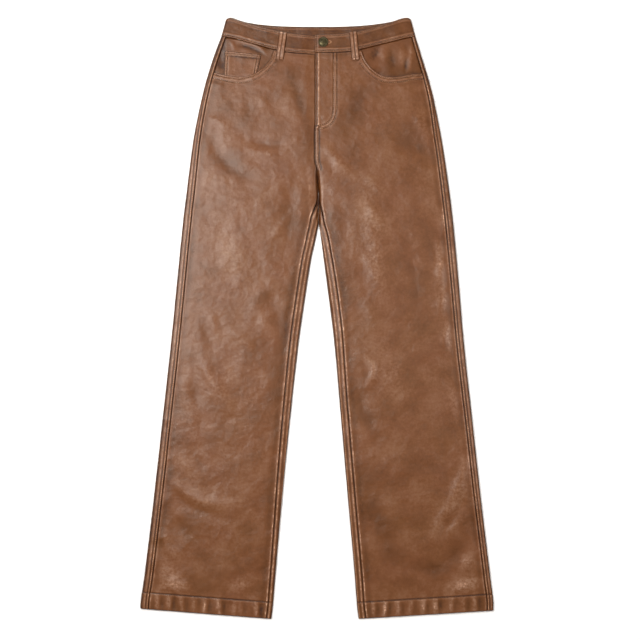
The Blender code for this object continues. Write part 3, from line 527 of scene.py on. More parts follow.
@dataclass(frozen=True)
class Form:
    """The shape of the laid trousers over one leg and its half of the hips."""

    leg: Leg

    def outer(self, level: Array | float) -> Array:
        """Give the silhouette's X."""
        return self.leg.sign * OUTLINE.read(self.leg.word, level)

    def inner(self, level: Array | float) -> Array:
        """Give X of the inner fold, or above the crotch of the front's edge."""
        centre = CENTRE_FRONT.read("x", level) + self.leg.sign * SEAM / 2
        return np.where(np.asarray(level) < CROTCH_LEVEL, LEG_GAP.read(self.leg.word, level), centre)

    def from_outer(self, x: Array, level: Array) -> Array:
        """Give the distance in from the silhouette."""
        return self.leg.sign * (self.outer(level) - x)

    def from_inner(self, x: Array, level: Array) -> Array:
        """Give the distance out from the inner fold."""
        return self.leg.sign * (x - self.inner(level))

    def height(self, x: Array, y: Array, uneven: bool = True) -> Array:
        """Give the upper cloth's height over the table.

        Args:
            x: The places' X.
            y: The places' Y.
            uneven: Whether the cloth's slow unevenness counts.

        Returns:
            The height of its outer face.
        """
        edge, rise = LOFT.read("edge", y), LOFT.read("rise", y)
        shoulder = LOFT.read("shoulder", y)
        hip = ease((y - CROTCH_LEVEL) / (CREVICE_TOP - CROTCH_LEVEL))
        outward, inward = self.from_outer(x, y), self.from_inner(x, y)
        past_outer, past_inner = outward - edge / 2, inward - shoulder
        crown = spread(past_outer, CROWN_REACH) * mix(spread(past_inner, CROWN_REACH), 1.0, hip)
        calm = spread(past_outer, CALM_REACH) * mix(spread(past_inner, CALM_REACH), 1.0, hip)
        loose = creased(CREASES, x, y)
        if uneven:
            loose = loose + slack(x, y) * ease((WAIST_LEVEL - y) / SLACK_FADE)
        full = edge + rise * crown + loose * calm
        crevice = mix(edge / 2, full, hip)
        z = crevice + (full - crevice) * quarter_round(inward / shoulder)
        z = z - CREVICE_DEPTH * self.crevice(inward, y)
        return edge / 2 + (z - edge / 2) * quarter_round(outward / (edge / 2))

    @staticmethod
    def crevice(inward: Array, level: Array) -> Array:
        """Give how deep in the crotch's crevice a place lies, from 0 to 1.

        Args:
            inward: Its distance out from the inner fold.
            level: Its level.

        Returns:
            The share of the crevice's depth.
        """
        start, full, waning, end = CREVICE_WINDOW
        window = ease((level - start) / (full - start)) * ease((end - level) / (end - waning))
        return hump(np.maximum(inward, 0.0), CREVICE_HALF) * window

    def shoulder_arc(self, level: Array) -> tuple[Array, Array, Array]:
        """Measure the inner fold's shoulder.

        Args:
            level: The levels to measure it at.

        Returns:
            Its half width, the length of cloth over it, and how far it has opened into the hip.
        """
        half = LOFT.read("shoulder", level)
        hip = ease((level - CROTCH_LEVEL) / (CREVICE_TOP - CROTCH_LEVEL))
        return half, half + (math.pi / 2 - 1) * LOFT.read("edge", level) / 2 * (1 - hip), hip

    def along_cloth(self, distance: Array, level: Array) -> Array:
        """Turn a distance out from the inner fold into the length of cloth that covers it.

        Args:
            distance: The distance, seen from above.
            level: The place's level.

        Returns:
            The length along the cloth.
        """
        half, length, hip = self.shoulder_arc(level)
        angle = np.arccos(1 - np.clip(distance / half, 0, 1))
        arc = np.where(distance < half, length * angle / (math.pi / 2), length + distance - half)
        return mix(arc, distance, hip)

    def out_from_fold(self, cloth: Array, level: Array) -> Array:
        """Turn a length of cloth from the inner fold into the distance out that it reaches.

        Args:
            cloth: The length along the cloth.
            level: The place's level.

        Returns:
            The distance, seen from above.
        """
        half, length, hip = self.shoulder_arc(level)
        angle = np.clip(cloth / length, 0, 1) * math.pi / 2
        out = np.where(cloth < length, half * (1 - np.cos(angle)), half + cloth - length)
        return mix(out, cloth, hip)

    def hem(self, x: Array) -> Array:
        """Give the sloping hem's Y where the cloth lies at X."""
        width = np.abs(self.outer(HEM_LEVEL) - self.inner(HEM_LEVEL))
        return mix(*HEM_CORNERS[self.leg.word], np.clip(self.from_outer(x, HEM_LEVEL) / width, 0, 1))

    def skew(self, x: Array, level: Array, waist: Array) -> Array:
        """Lay a level on the cloth, along the hem below and along the waist above.

        Args:
            x: The places' X.
            level: Their levels.
            waist: Y of the edge at the waist over each.

        Returns:
            Their Y.
        """
        at_hem = 1 - ease((level - HEM_LEVEL - HEM_HELD) / HEM_FADE)
        at_waist = ease((level - WAIST_FADE_LEVEL) / (WAIST_LEVEL - WAIST_FADE_LEVEL))
        return level + (self.hem(x) - HEM_LEVEL) * at_hem + (waist - WAIST_LEVEL) * at_waist

    def pucker(self, x: Array, up: Array) -> Array:
        """Give the small upright puckers that the hem's stitching draws in.

        Args:
            x: The places' X.
            up: How far each is above the hem's edge.

        Returns:
            What they add to the height.
        """
        share = np.clip(up / HEM_DEPTH, 0, 1)
        strength = np.where(up < HEM_DEPTH, mix(PUCKER_HELD, 1.0, np.sin(math.pi * share)),
                            PUCKER_HELD * np.exp(-(up - HEM_DEPTH) / PUCKER_FADE))
        ridges = 0.0
        for k, place in enumerate(HEM_PUCKERS[self.leg.word]):
            # The two sines make neighbours differ in lean and height
            off = x - place - PUCKER_LEAN * math.sin(2.3 * k) * share
            height = PUCKER_HEIGHT + PUCKER_VARIES * math.sin(1.7 * k)
            ridge = hump(off, PUCKER_HALF) - TROUGH_SHARE * hump(off - TROUGH_OFF, TROUGH_HALF)
            ridges = ridges + height * ridge
        return ridges * strength


def band_front(edge: str, leg: Leg, x: Array | float) -> Array:
    """Give Y of the waistband's bottom or top edge on the front."""
    return (BAND_FRONT if leg is Leg.RIGHT else BAND_FRONT_LEFT).read(edge, x)


def band_back(edge: str, x: Array | float) -> Array:
    """Give Y of the waistband's edge on the back, which dips in the middle.

    Args:
        edge: Which edge, "bottom" or "top".
        x: The places' X.

    Returns:
        The edge's Y at each.
    """
    if edge == "top":
        reach = np.minimum(np.abs(x) / OUTLINE.read("right", 538.0), 1.0)
        return HALF_LENGTH - BACK_DIP * (1 - reach**3)
    reach = np.minimum(np.abs(x) / OUTLINE.read("right", BAND_SIDE_BOTTOM), 1.0)
    return mix(HALF_LENGTH - BACK_DIP - BACK_BAND_HEIGHT, BAND_SIDE_BOTTOM, reach**2)


def band_height(form: Form, x: Array, y: Array) -> Array:
    """Give the height of the waistband's face on the front, where nothing laps over it."""
    radius = LOFT.read("edge", y) / 2
    return form.height(x, y, uneven=False) + BAND_PROUD * spread(form.from_outer(x, y) - radius, CALM_REACH)


def crotch_gap(level: Array) -> Array:
    """Give half the gap in the seam between front and back, wider where four seams meet."""
    return SEAM / 2 + CROTCH_SLACK * np.exp(-(((level - CROTCH_LEVEL) / CROTCH_LIFT) ** 2))


@dataclass(frozen=True)
class EdgeFinish:
    """How an edge is turned, swollen by its allowance and stitched, by distance in from it."""

    turn: float = 1.2
    drop: float = 0.8
    swells: tuple[tuple[float, float, float], ...] = ()  # place, half width, height
    rows: Numbers = ()  # of stitching that has sunk in
    sewn: Numbers = ()  # of stitching along the top of a swell
    groove: float = 0.26
    groove_width: float = 0.75
    pressed: float = 0.6  # the share of each swell's height that pressing has left
    edge_shade: float = 1.5  # painted shade where the edge turns down, for each mm of drop
    edge_shade_width: float = 1.1
    swell_wear_and_shade: float = 3.1  # tone for each mm of height, on a swell 1 mm wide: raised swells lighter, partly wear and partly painted highlight, and low ones darker by painted shade
    swell_wear_and_shade_falls: float = 0.7  # a wider swell's tone is weaker, by this power of its width
    # painted shade in the stitching's grooves
    row_shade: float = 1.3
    row_shade_past: float = 0.3  # past the groove's own width

    def relief(self, distance: Array) -> Array:
        """Shape the edge.

        Args:
            distance: How far in from the edge each place lies.

        Returns:
            What the edge adds to the height.
        """
        total = -self.drop * (1 - quarter_round(distance / self.turn))
        for place, half_width, height in self.swells:
            total = total + self.pressed * height * hump(distance - place, half_width)
        for row in self.rows:
            total = total - self.groove * hump(distance - row, self.groove_width)
        return total

    def tone(self, distance: Array) -> Array:
        """Paint the edge's tone: painted shade where it turns down and in its grooves, wear and painted
        highlight on raised swells, and painted shade on low ones.

        Args:
            distance: How far in from the edge each place lies.

        Returns:
            What the edge adds to the tone.
        """
        total = -self.edge_shade * self.drop * hump(np.maximum(distance, 0.0), self.edge_shade_width)
        for place, half_width, height in self.swells:
            rub = self.swell_wear_and_shade * height / half_width**self.swell_wear_and_shade_falls
            total = total + rub * hump(distance - place, half_width)
        for row in self.rows:
            total = total - self.row_shade * hump(distance - row, self.groove_width + self.row_shade_past)
        return total


FRONT_SIDE = EdgeFinish(swells=((2.3, 1.1, 0.2), (7.5, 3.5, -0.2)))
BACK_SIDE = EdgeFinish(swells=((2.4, 0.9, 0.26), (7.6, 1.5, 0.3), (12.2, 1.6, -0.4)), rows=(4.7,),
                       sewn=(2.4,), groove_width=0.9)
FRONT_INSEAM = EdgeFinish(swells=((2.7, 1.2, 0.34), (9.5, 5.0, -0.3)))
BACK_INSEAM = EdgeFinish(swells=((3.4, 1.0, 0.3), (7.0, 1.2, -0.22), (10.6, 1.1, 0.3), (14.4, 1.5, -0.3)),
                         sewn=(3.4, 10.6))
MOUTH_EDGE = EdgeFinish(drop=0.5, swells=((1.2, 0.8, 0.26), (6.3, 2.0, 0.2), (11.9, 0.9, 0.12),
                                          (14.5, 3.0, -0.12)), rows=(2.9, 10.0))
FLY_EDGE = EdgeFinish(turn=1.6, drop=0.9, swells=((1.7, 1.0, 0.12), (6.2, 1.6, 0.36), (11.0, 3.0, -0.12)),
                      rows=(3.4,), sewn=(6.2,))
CENTRE_SEAM = EdgeFinish(swells=((4.7, 1.5, 0.3), (9.2, 1.2, -0.35)), rows=(2.4, 7.0))
UNDER_BAND = EdgeFinish(turn=1.5, drop=0.7, swells=((4.0, 2.5, -0.15),))
HEM_EDGE = EdgeFinish(turn=1.6, drop=1.0, swells=((27.6, 1.3, 0.18), (32.8, 2.0, 0.06)),
                      rows=(HEM_DEPTH,), groove=0.35, groove_width=1.2)
BAND_FOOT = EdgeFinish(swells=((1.2, 0.8, 0.3), (6.3, 1.1, 0.36), (9.5, 1.6, -0.1)), rows=(3.7,))
BAND_TOP = EdgeFinish(turn=1.6, drop=0.9, swells=((1.4, 0.9, 0.28), (4.9, 1.1, 0.3), (8.0, 1.6, -0.1)),
                      rows=(3.1,))
BAND_END = EdgeFinish(turn=1.6, drop=0.9, swells=((1.4, 0.9, 0.3), (5.2, 1.1, 0.25)), rows=(3.3,))
LOOP_EDGE = EdgeFinish(turn=1.0, drop=0.6, swells=((1.2, 0.8, 0.2), (3.4, 0.9, 0.2)), rows=(6.0,),
                       sewn=(3.4,))
COIN_TOP = EdgeFinish(swells=((1.3, 0.9, 0.34), (5.0, 1.0, 0.28), (9.0, 1.5, -0.15)), rows=(3.2, 6.8))
COIN_SIDE = EdgeFinish(swells=((3.9, 1.0, 0.34), (8.0, 1.2, 0.16)), rows=(1.9, 6.0))
PLAIN_EDGE = EdgeFinish(drop=0.3)
FLY_ROWS = EdgeFinish(drop=0.0, swells=((0.0, 1.5, 0.3), (5.8, 1.8, 0.12)), rows=(2.8,))


def srgb(code: str) -> tuple[float, float, float, float]:
    """Turn an sRGB hex colour into the linear one that a shader takes.

    Args:
        code: The colour, as "#RRGGBB".

    Returns:
        Red, green and blue in linear light, and full opacity.
    """
    parts = (int(code[k:k + 2], 16) / 255 for k in (1, 3, 5))
    red, green, blue = (p / 12.92 if p <= 0.04045 else ((p + 0.055) / 1.055) ** 2.4 for p in parts)
    return red, green, blue, 1.0


def feed(node: bpy.types.Node, links: dict) -> None:
    """Give a node's inputs what they take.

    Args:
        node: The node.
        links: What feeds each input, by its name or number: another node's output, or a value.
    """
    for name, value in links.items():
        if isinstance(value, bpy.types.NodeSocket):
            node.id_data.links.new(value, node.inputs[name])
        else:
            node.inputs[name].default_value = value


def add_node(tree: bpy.types.NodeTree, kind: str, links: dict | None = None, **settings) -> bpy.types.Node:
    """Add a node with its settings and links.

    Args:
        tree: The node tree.
        kind: The node's type, without "ShaderNode".
        links: What feeds each input, as feed takes it.
        **settings: The node's own properties, and for a colour ramp its stops, as places and hex colours.

    Returns:
        The new node.
    """
    node = tree.nodes.new("ShaderNode" + kind)
    for name, value in settings.items():
        if name == "stops":
            while len(node.color_ramp.elements) < len(value):
                node.color_ramp.elements.new(0.5)
            for element, (element.position, code) in zip(node.color_ramp.elements, value):
                element.color = srgb(code)
        else:
            setattr(node, name, value)
    feed(node, links or {})
    return node


def new_material(name: str) -> tuple[Material, bpy.types.NodeTree, bpy.types.Node]:
    """Make a material to build on.

    Args:
        name: The material's name.

    Returns:
        The material, its node tree and its shader.
    """
    material = bpy.data.materials.new(name)
    material.use_nodes = True
    return material, material.node_tree, material.node_tree.nodes["Principled BSDF"]


@dataclass(frozen=True)
class FauxLeather:
    """Polyurethane faux leather on a knitted back, embossed, then rubbed so that its seams wear light.

    It gives the eye a satin brown skin, whose broad soft highlights break up over the embossing. Its tone
    paints shade into grooves and creases and paints highlights on some ridges and patches, besides the pale
    wear.
    """

    name: str
    # The pale stops are greyed like a sheen, for the painted highlights that use them as well as for worn
    # ridges
    stops: tuple[tuple[float, str], ...] = ((0.0, "#361700"), (0.24, "#4E2904"), (0.45, "#623A1D"),
                                            (0.64, "#734F38"), (0.82, "#866450"), (1.0, "#BE967B"))
    roughness: float = 0.41
    ior: float = 1.4
    coat: float = 0.06
    coat_roughness: float = 0.27
    # Each noise by its feature's size in mm, its detail and its roughness
    noises: tuple[tuple[str, float, float, float], ...] = (
        ("patches", 38.0, 5.0, 0.62),  # cloudy colour, rubbed on by hand
        ("specks", 5.0, 3.0, 0.6),
        ("hues", 60.0, 2.0, 0.5),
        ("ripples", 32.0, 2.0, 0.5),
        ("crackle", 10.0, 4.0, 0.6),
        ("pebbles", 4.2, 2.0, 0.5),
    )
    # What noises are turned to: name, noise, the span of it that counts, the values at the span's ends
    spans: tuple[tuple[str, str, float, float, float, float], ...] = (
        ("floor", "patches", 0.45, 0.65, 0.16, 0.02),  # fills the wrinkles where the patches are low
        ("clouds", "patches", 0.28, 0.72, 0.31, 0.585),  # places on the colour ramp
        ("flecks", "specks", 0.3, 0.7, -0.05, 0.05),
        ("wear", "specks", 0.3, 0.7, 0.15, 0.68),  # how much of a place's tone shows, of its wear and of its painted shade and highlight alike
        ("hue", "hues", 0.0, 1.0, 0.496, 0.504),  # keeps the browns from looking printed from one ink
    )
    # A pale tone, then what roughness gains at tone 0 and there
    burnished: tuple[float, float, float] = (0.7, 0.04, -0.01)
    grain_mm: float = 2.4  # real grain is about 1 mm, drawn coarser so that it shows
    wrinkle_mm: float = 30.0
    wrinkle_bend_mm: float = 22.0  # how far a noise bends them
    wrinkle_bend_detail: float = 3.0
    # The height in mm that each pattern would have if it ran from 0 to 1. Most run through less
    bumps: tuple[tuple[str, float], ...] = (("ripples", 2.5), ("wrinkles", 1.1), ("crackle", 0.2),
                                            ("pebbles", 0.1), ("grain", -0.07))

    def material(self) -> Material:
        """Build the material: cloudy browns, lighter on ridges by wear and painted highlight, darker in
        grooves by painted shade, with a fine grain.

        Returns:
            The material.
        """
        material, tree, shader = new_material(self.name)
        place = add_node(tree, "TexCoord").outputs["Object"]
        tone = add_node(tree, "Attribute", attribute_name="tone").outputs["Fac"]
        fields = {name: add_node(tree, "TexNoise", {"Vector": place, "Scale": 1 / (size * MM),
                                                    "Detail": detail, "Roughness": rough}).outputs["Fac"]
                  for name, size, detail, rough in self.noises}
        fields["grain"] = add_node(tree, "TexVoronoi", {"Vector": place, "Scale": 1 / (self.grain_mm * MM)},
                                   feature="SMOOTH_F1").outputs["Distance"]
        for name, noise, low, high, at_low, at_high in self.spans:
            ends = {"From Min": low, "From Max": high, "To Min": at_low, "To Max": at_high}
            fields[name] = add_node(tree, "MapRange", {"Value": fields[noise], **ends}).outputs["Result"]
        bend = add_node(tree, "TexNoise", {"Vector": place, "Scale": 1 / (self.wrinkle_mm * MM),
                                           "Detail": self.wrinkle_bend_detail})
        bent = add_node(tree, "VectorMath", {0: bend.outputs["Color"], 1: (self.wrinkle_bend_mm * MM,) * 3,
                                             2: place}, operation="MULTIPLY_ADD").outputs["Vector"]
        cells = add_node(tree, "TexVoronoi", {"Vector": bent, "Scale": 1 / (self.wrinkle_mm * MM)},
                         feature="DISTANCE_TO_EDGE").outputs["Distance"]
        # Wrinkles run between soft cells, down to the floor
        fields["wrinkles"] = add_node(tree, "Math", {0: cells, 1: fields["floor"]},
                                      operation="MAXIMUM").outputs["Value"]
        mottled = add_node(tree, "Math", {0: fields["clouds"], 1: fields["flecks"]},
                           operation="ADD").outputs["Value"]
        # The ramp's place: mottled colour plus the tone, which holds wear and painted shade and highlight
        rubbed = add_node(tree, "Math", {0: tone, 1: fields["wear"], 2: mottled},
                          operation="MULTIPLY_ADD").outputs["Value"]
        colour = add_node(tree, "ValToRGB", {"Fac": rubbed}, stops=self.stops).outputs["Color"]
        tinted = add_node(tree, "HueSaturation", {"Color": colour, "Hue": fields["hue"]}).outputs["Color"]
        # Rubbing has burnished the pale places a little
        pale, at_zero, at_pale = self.burnished
        gloss = add_node(tree, "MapRange", {"Value": rubbed, "From Max": pale,
                                            "To Min": self.roughness + at_zero,
                                            "To Max": self.roughness + at_pale}).outputs["Result"]
        normal = None
        for field, height_mm in self.bumps:
            sources = {"Height": fields[field], "Distance": abs(height_mm) * MM}
            if normal is not None:
                sources["Normal"] = normal
            normal = add_node(tree, "Bump", sources, invert=height_mm < 0).outputs["Normal"]
        feed(shader, {"Base Color": tinted, "Roughness": gloss, "Normal": normal, "IOR": self.ior,
                      "Coat Weight": self.coat, "Coat Roughness": self.coat_roughness})
        return material


@dataclass(frozen=True)
class Thread:
    """Twisted polyester sewing thread, a little lighter than the leather.

    It gives the eye fine matt dashes along each row, and dark ones along the hems.
    """

    name: str = "twisted polyester thread"
    darkest: str = "#3E2010"
    dark: str = "#8A5B3A"
    light: str = "#C89A74"
    roughness: float = 0.6
    wear_mm: float = 7.0

    def material(self) -> Material:
        """Build the material: thread that is paler where it has been rubbed.

        Returns:
            The material.
        """
        material, tree, shader = new_material(self.name)
        place = add_node(tree, "TexCoord").outputs["Object"]
        tone = add_node(tree, "Attribute", attribute_name="tone").outputs["Fac"]
        noise = add_node(tree, "TexNoise", {"Vector": place, "Scale": 1 / (self.wear_mm * MM)})
        wear = add_node(tree, "Math", {0: noise.outputs["Fac"], 1: tone}, operation="ADD").outputs["Value"]
        colour = add_node(tree, "ValToRGB", {"Fac": wear}, stops=((0.0, self.darkest), (0.35, self.dark),
                                                              (0.65, self.light)))
        feed(shader, {"Base Color": colour.outputs["Color"], "Roughness": self.roughness})
        return material


@dataclass(frozen=True)
class AntiqueBrass:
    """Stamped brass, blackened and rubbed back.

    It gives the eye a dark, slightly green disc with a soft glint where the metal shows on its rim.
    """

    name: str = "antique brass"
    dark: str = "#1D1B13"
    light: str = "#4F4931"
    metallic: float = 0.85  # the blackening covers a little of the metal
    roughness: float = 0.4
    stain_mm: float = 2.2
    stain_detail: float = 4.0
    stain_height_mm: float = 0.1
    stain_strength: float = 0.3

    def material(self) -> Material:
        """Build the material: dark stains over a rubbed metal face.

        Returns:
            The material.
        """
        material, tree, shader = new_material(self.name)
        place = add_node(tree, "TexCoord").outputs["Object"]
        stain = add_node(tree, "TexNoise", {"Vector": place, "Scale": 1 / (self.stain_mm * MM),
                                            "Detail": self.stain_detail}).outputs["Fac"]
        colour = add_node(tree, "ValToRGB", {"Fac": stain}, stops=((0.3, self.dark), (0.7, self.light)))
        bump = add_node(tree, "Bump", {"Height": stain, "Strength": self.stain_strength,
                                       "Distance": self.stain_height_mm * MM})
        feed(shader, {"Base Color": colour.outputs["Color"], "Metallic": self.metallic,
                      "Roughness": self.roughness, "Normal": bump.outputs["Normal"]})
        return material


@dataclass(frozen=True)
class PaintedTable:
    """A board painted matt white.

    It gives the eye a plain pale ground without a highlight.
    """

    name: str = "matt white board"
    colour: str = "#F5F7FB"
    shade: str = "#F0F2F6"
    roughness: float = 0.9
    cloud_mm: float = 1000 / 3

    def material(self) -> Material:
        """Build the material: white with the faintest clouds.

        Returns:
            The material.
        """
        material, tree, shader = new_material(self.name)
        place = add_node(tree, "TexCoord").outputs["Object"]
        clouds = add_node(tree, "TexNoise", {"Vector": place, "Scale": 1 / (self.cloud_mm * MM)})
        colour = add_node(tree, "ValToRGB", {"Fac": clouds.outputs["Fac"]},
                          stops=((0.3, self.shade), (0.7, self.colour)))
        feed(shader, {"Base Color": colour.outputs["Color"], "Roughness": self.roughness})
        return material


@dataclass
class Finishes:
    """The materials that the pieces share."""

    leather: Material
    facing: Material
    thread: Material
    brass: Material

    @classmethod
    def mix_up(cls) -> Finishes:
        """Build each material once.

        Returns:
            The set of them.
        """
        return cls(
            leather=FauxLeather("embossed faux leather").material(),
            facing=FauxLeather("embossed faux leather, less rubbed", roughness=0.4).material(),
            thread=Thread().material(),
            brass=AntiqueBrass().material(),
        )


def mesh_piece(name: str, points: Array, faces: list[tuple[int, ...]] | Array,
               material: Material, tone: Array | None = None) -> Object:
    """Make a smooth mesh object from places in millimetres.

    Args:
        name: The object's name.
        points: One place a row.
        faces: The corners of each face.
        material: Its material.
        tone: How much lighter or darker each place is painted, by wear and by painted shade and highlight.

    Returns:
        The object, in the scene.
    """
    mesh = bpy.data.meshes.new(name)
    mesh.from_pydata((points * MM).tolist(), [], faces if isinstance(faces, list) else faces.tolist())
    mesh.shade_smooth()
    mesh.materials.append(material)
    shade = mesh.attributes.new("tone", "FLOAT", "POINT")
    shade.data.foreach_set("value", np.zeros(len(points)) if tone is None else np.clip(tone, -1, 1).ravel())
    piece = bpy.data.objects.new(name, mesh)
    bpy.context.scene.collection.objects.link(piece)
    return piece


def cloth_piece(name: str, places: Array, tone: Array, material: Material, flip: bool,
                wall: float = CLOTH_WALL, ring: bool = False) -> Object:
    """Make a thin shell from a net of places on its outer face.

    Args:
        name: The object's name.
        places: The net, rows by columns by X, Y and Z.
        tone: How much lighter or darker each place is painted, by wear and by painted shade and highlight,
            rows by columns.
        material: Its material.
        flip: Whether the net's faces look inward as laid.
        wall: The cloth's thickness, inward from the net.
        ring: Whether the last column joins the first.

    Returns:
        The shell.
    """
    rows, columns = places.shape[:2]
    index = np.arange(rows * columns).reshape(rows, columns)
    if ring:
        index = np.concatenate((index, index[:, :1]), axis=1)
    faces = np.stack((index[:-1, :-1], index[:-1, 1:], index[1:, 1:], index[1:, :-1]), axis=-1)
    faces = faces.reshape(-1, 4)
    piece = mesh_piece(name, places.reshape(-1, 3), faces[:, ::-1] if flip else faces, material, tone)
    thicken = piece.modifiers.new("Cloth", "SOLIDIFY")
    thicken.thickness = wall * MM
    thicken.offset = -1
    return piece


@dataclass
class Sewing:
    """Rows of stitches that lie on the cloth, gathered into one piece."""

    name: str
    pitch: float = 3.6
    length: float = 2.8
    radius: float = 0.34
    sink: float = 0.1
    sides: int = 5

    def __post_init__(self) -> None:
        """Shape one stitch, along X, and start with none sewn."""
        # The rings between its tips: along, width and lift, as shares of its length and radius
        stations = ((-0.38, 0.75, -0.1), (0.0, 1.0, 0.25), (0.38, 0.75, -0.1))
        angles = np.arange(self.sides) / self.sides * math.tau
        points = [(-0.5, 0.0, -1.0)]
        points += [(along, width * math.cos(a), width * math.sin(a) + lift)
                   for along, width, lift in stations for a in angles]
        points.append((0.5, 0.0, -1.0))
        self.stitch = np.array(points)
        last = len(points) - 1
        n, turns = self.sides, len(stations)
        self.faces = [(0, 1 + (k + 1) % n, 1 + k) for k in range(n)]
        self.faces += [(1 + s * n + k, 1 + s * n + (k + 1) % n, 1 + (s + 1) * n + (k + 1) % n,
                        1 + (s + 1) * n + k) for s in range(turns - 1) for k in range(n)]
        self.faces += [(last, last - n + k, last - n + (k + 1) % n) for k in range(n)]
        self.sewn: list[Array] = []
        self.tones: list[Array] = []

    def sew(self, path: Array, pitch: float | None = None, length: float | None = None,
            tone: float = 0.0) -> None:
        """Sew a row along a path on the cloth's upper face.

        Args:
            path: Places on the face, one a row.
            pitch: The length from one stitch to the next.
            length: The length of a stitch.
            tone: How pale the thread is, less than 0 for dark.
        """
        pitch, length = pitch or self.pitch, length or self.length
        total = lengths_along(path)[-1]
        count = max(1, int((total - length) / pitch) + 1)
        middles = (np.arange(count) + 0.5) * total / count
        ends = at_lengths(path, middles - length / 2), at_lengths(path, middles + length / 2)
        run = ends[1] - ends[0]
        run /= np.linalg.norm(run, axis=1, keepdims=True)
        side = np.cross(np.array((0.0, 0.0, 1.0)), run)
        side /= np.linalg.norm(side, axis=1, keepdims=True)
        up = np.cross(run, side)
        places = at_lengths(path, middles) - self.sink * up
        body = self.stitch
        row = (places[:, None] + run[:, None] * (body[None, :, :1] * length)
               + side[:, None] * (body[None, :, 1:2] * self.radius)
               + up[:, None] * (body[None, :, 2:] * self.radius))
        row[..., 2] = np.maximum(row[..., 2], 0.0)
        self.sewn.append(row)
        self.tones.append(np.full(row.shape[:2], tone))

    def piece(self, finishes: Finishes) -> Object:
        """Gather the stitches into one object that rides with the trousers.

        Args:
            finishes: The materials.

        Returns:
            The stitches.
        """
        stitches = np.concatenate(self.sewn)
        size = len(self.stitch)
        faces = [tuple(corner + k * size for corner in face)
                 for k in range(len(stitches)) for face in self.faces]
        piece = mesh_piece(self.name, stitches.reshape(-1, 3), faces, finishes.thread,
                           np.concatenate(self.tones))
        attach(piece, "root")
        LOG.info("%s: %d stitches", self.name, len(stitches))
        return piece


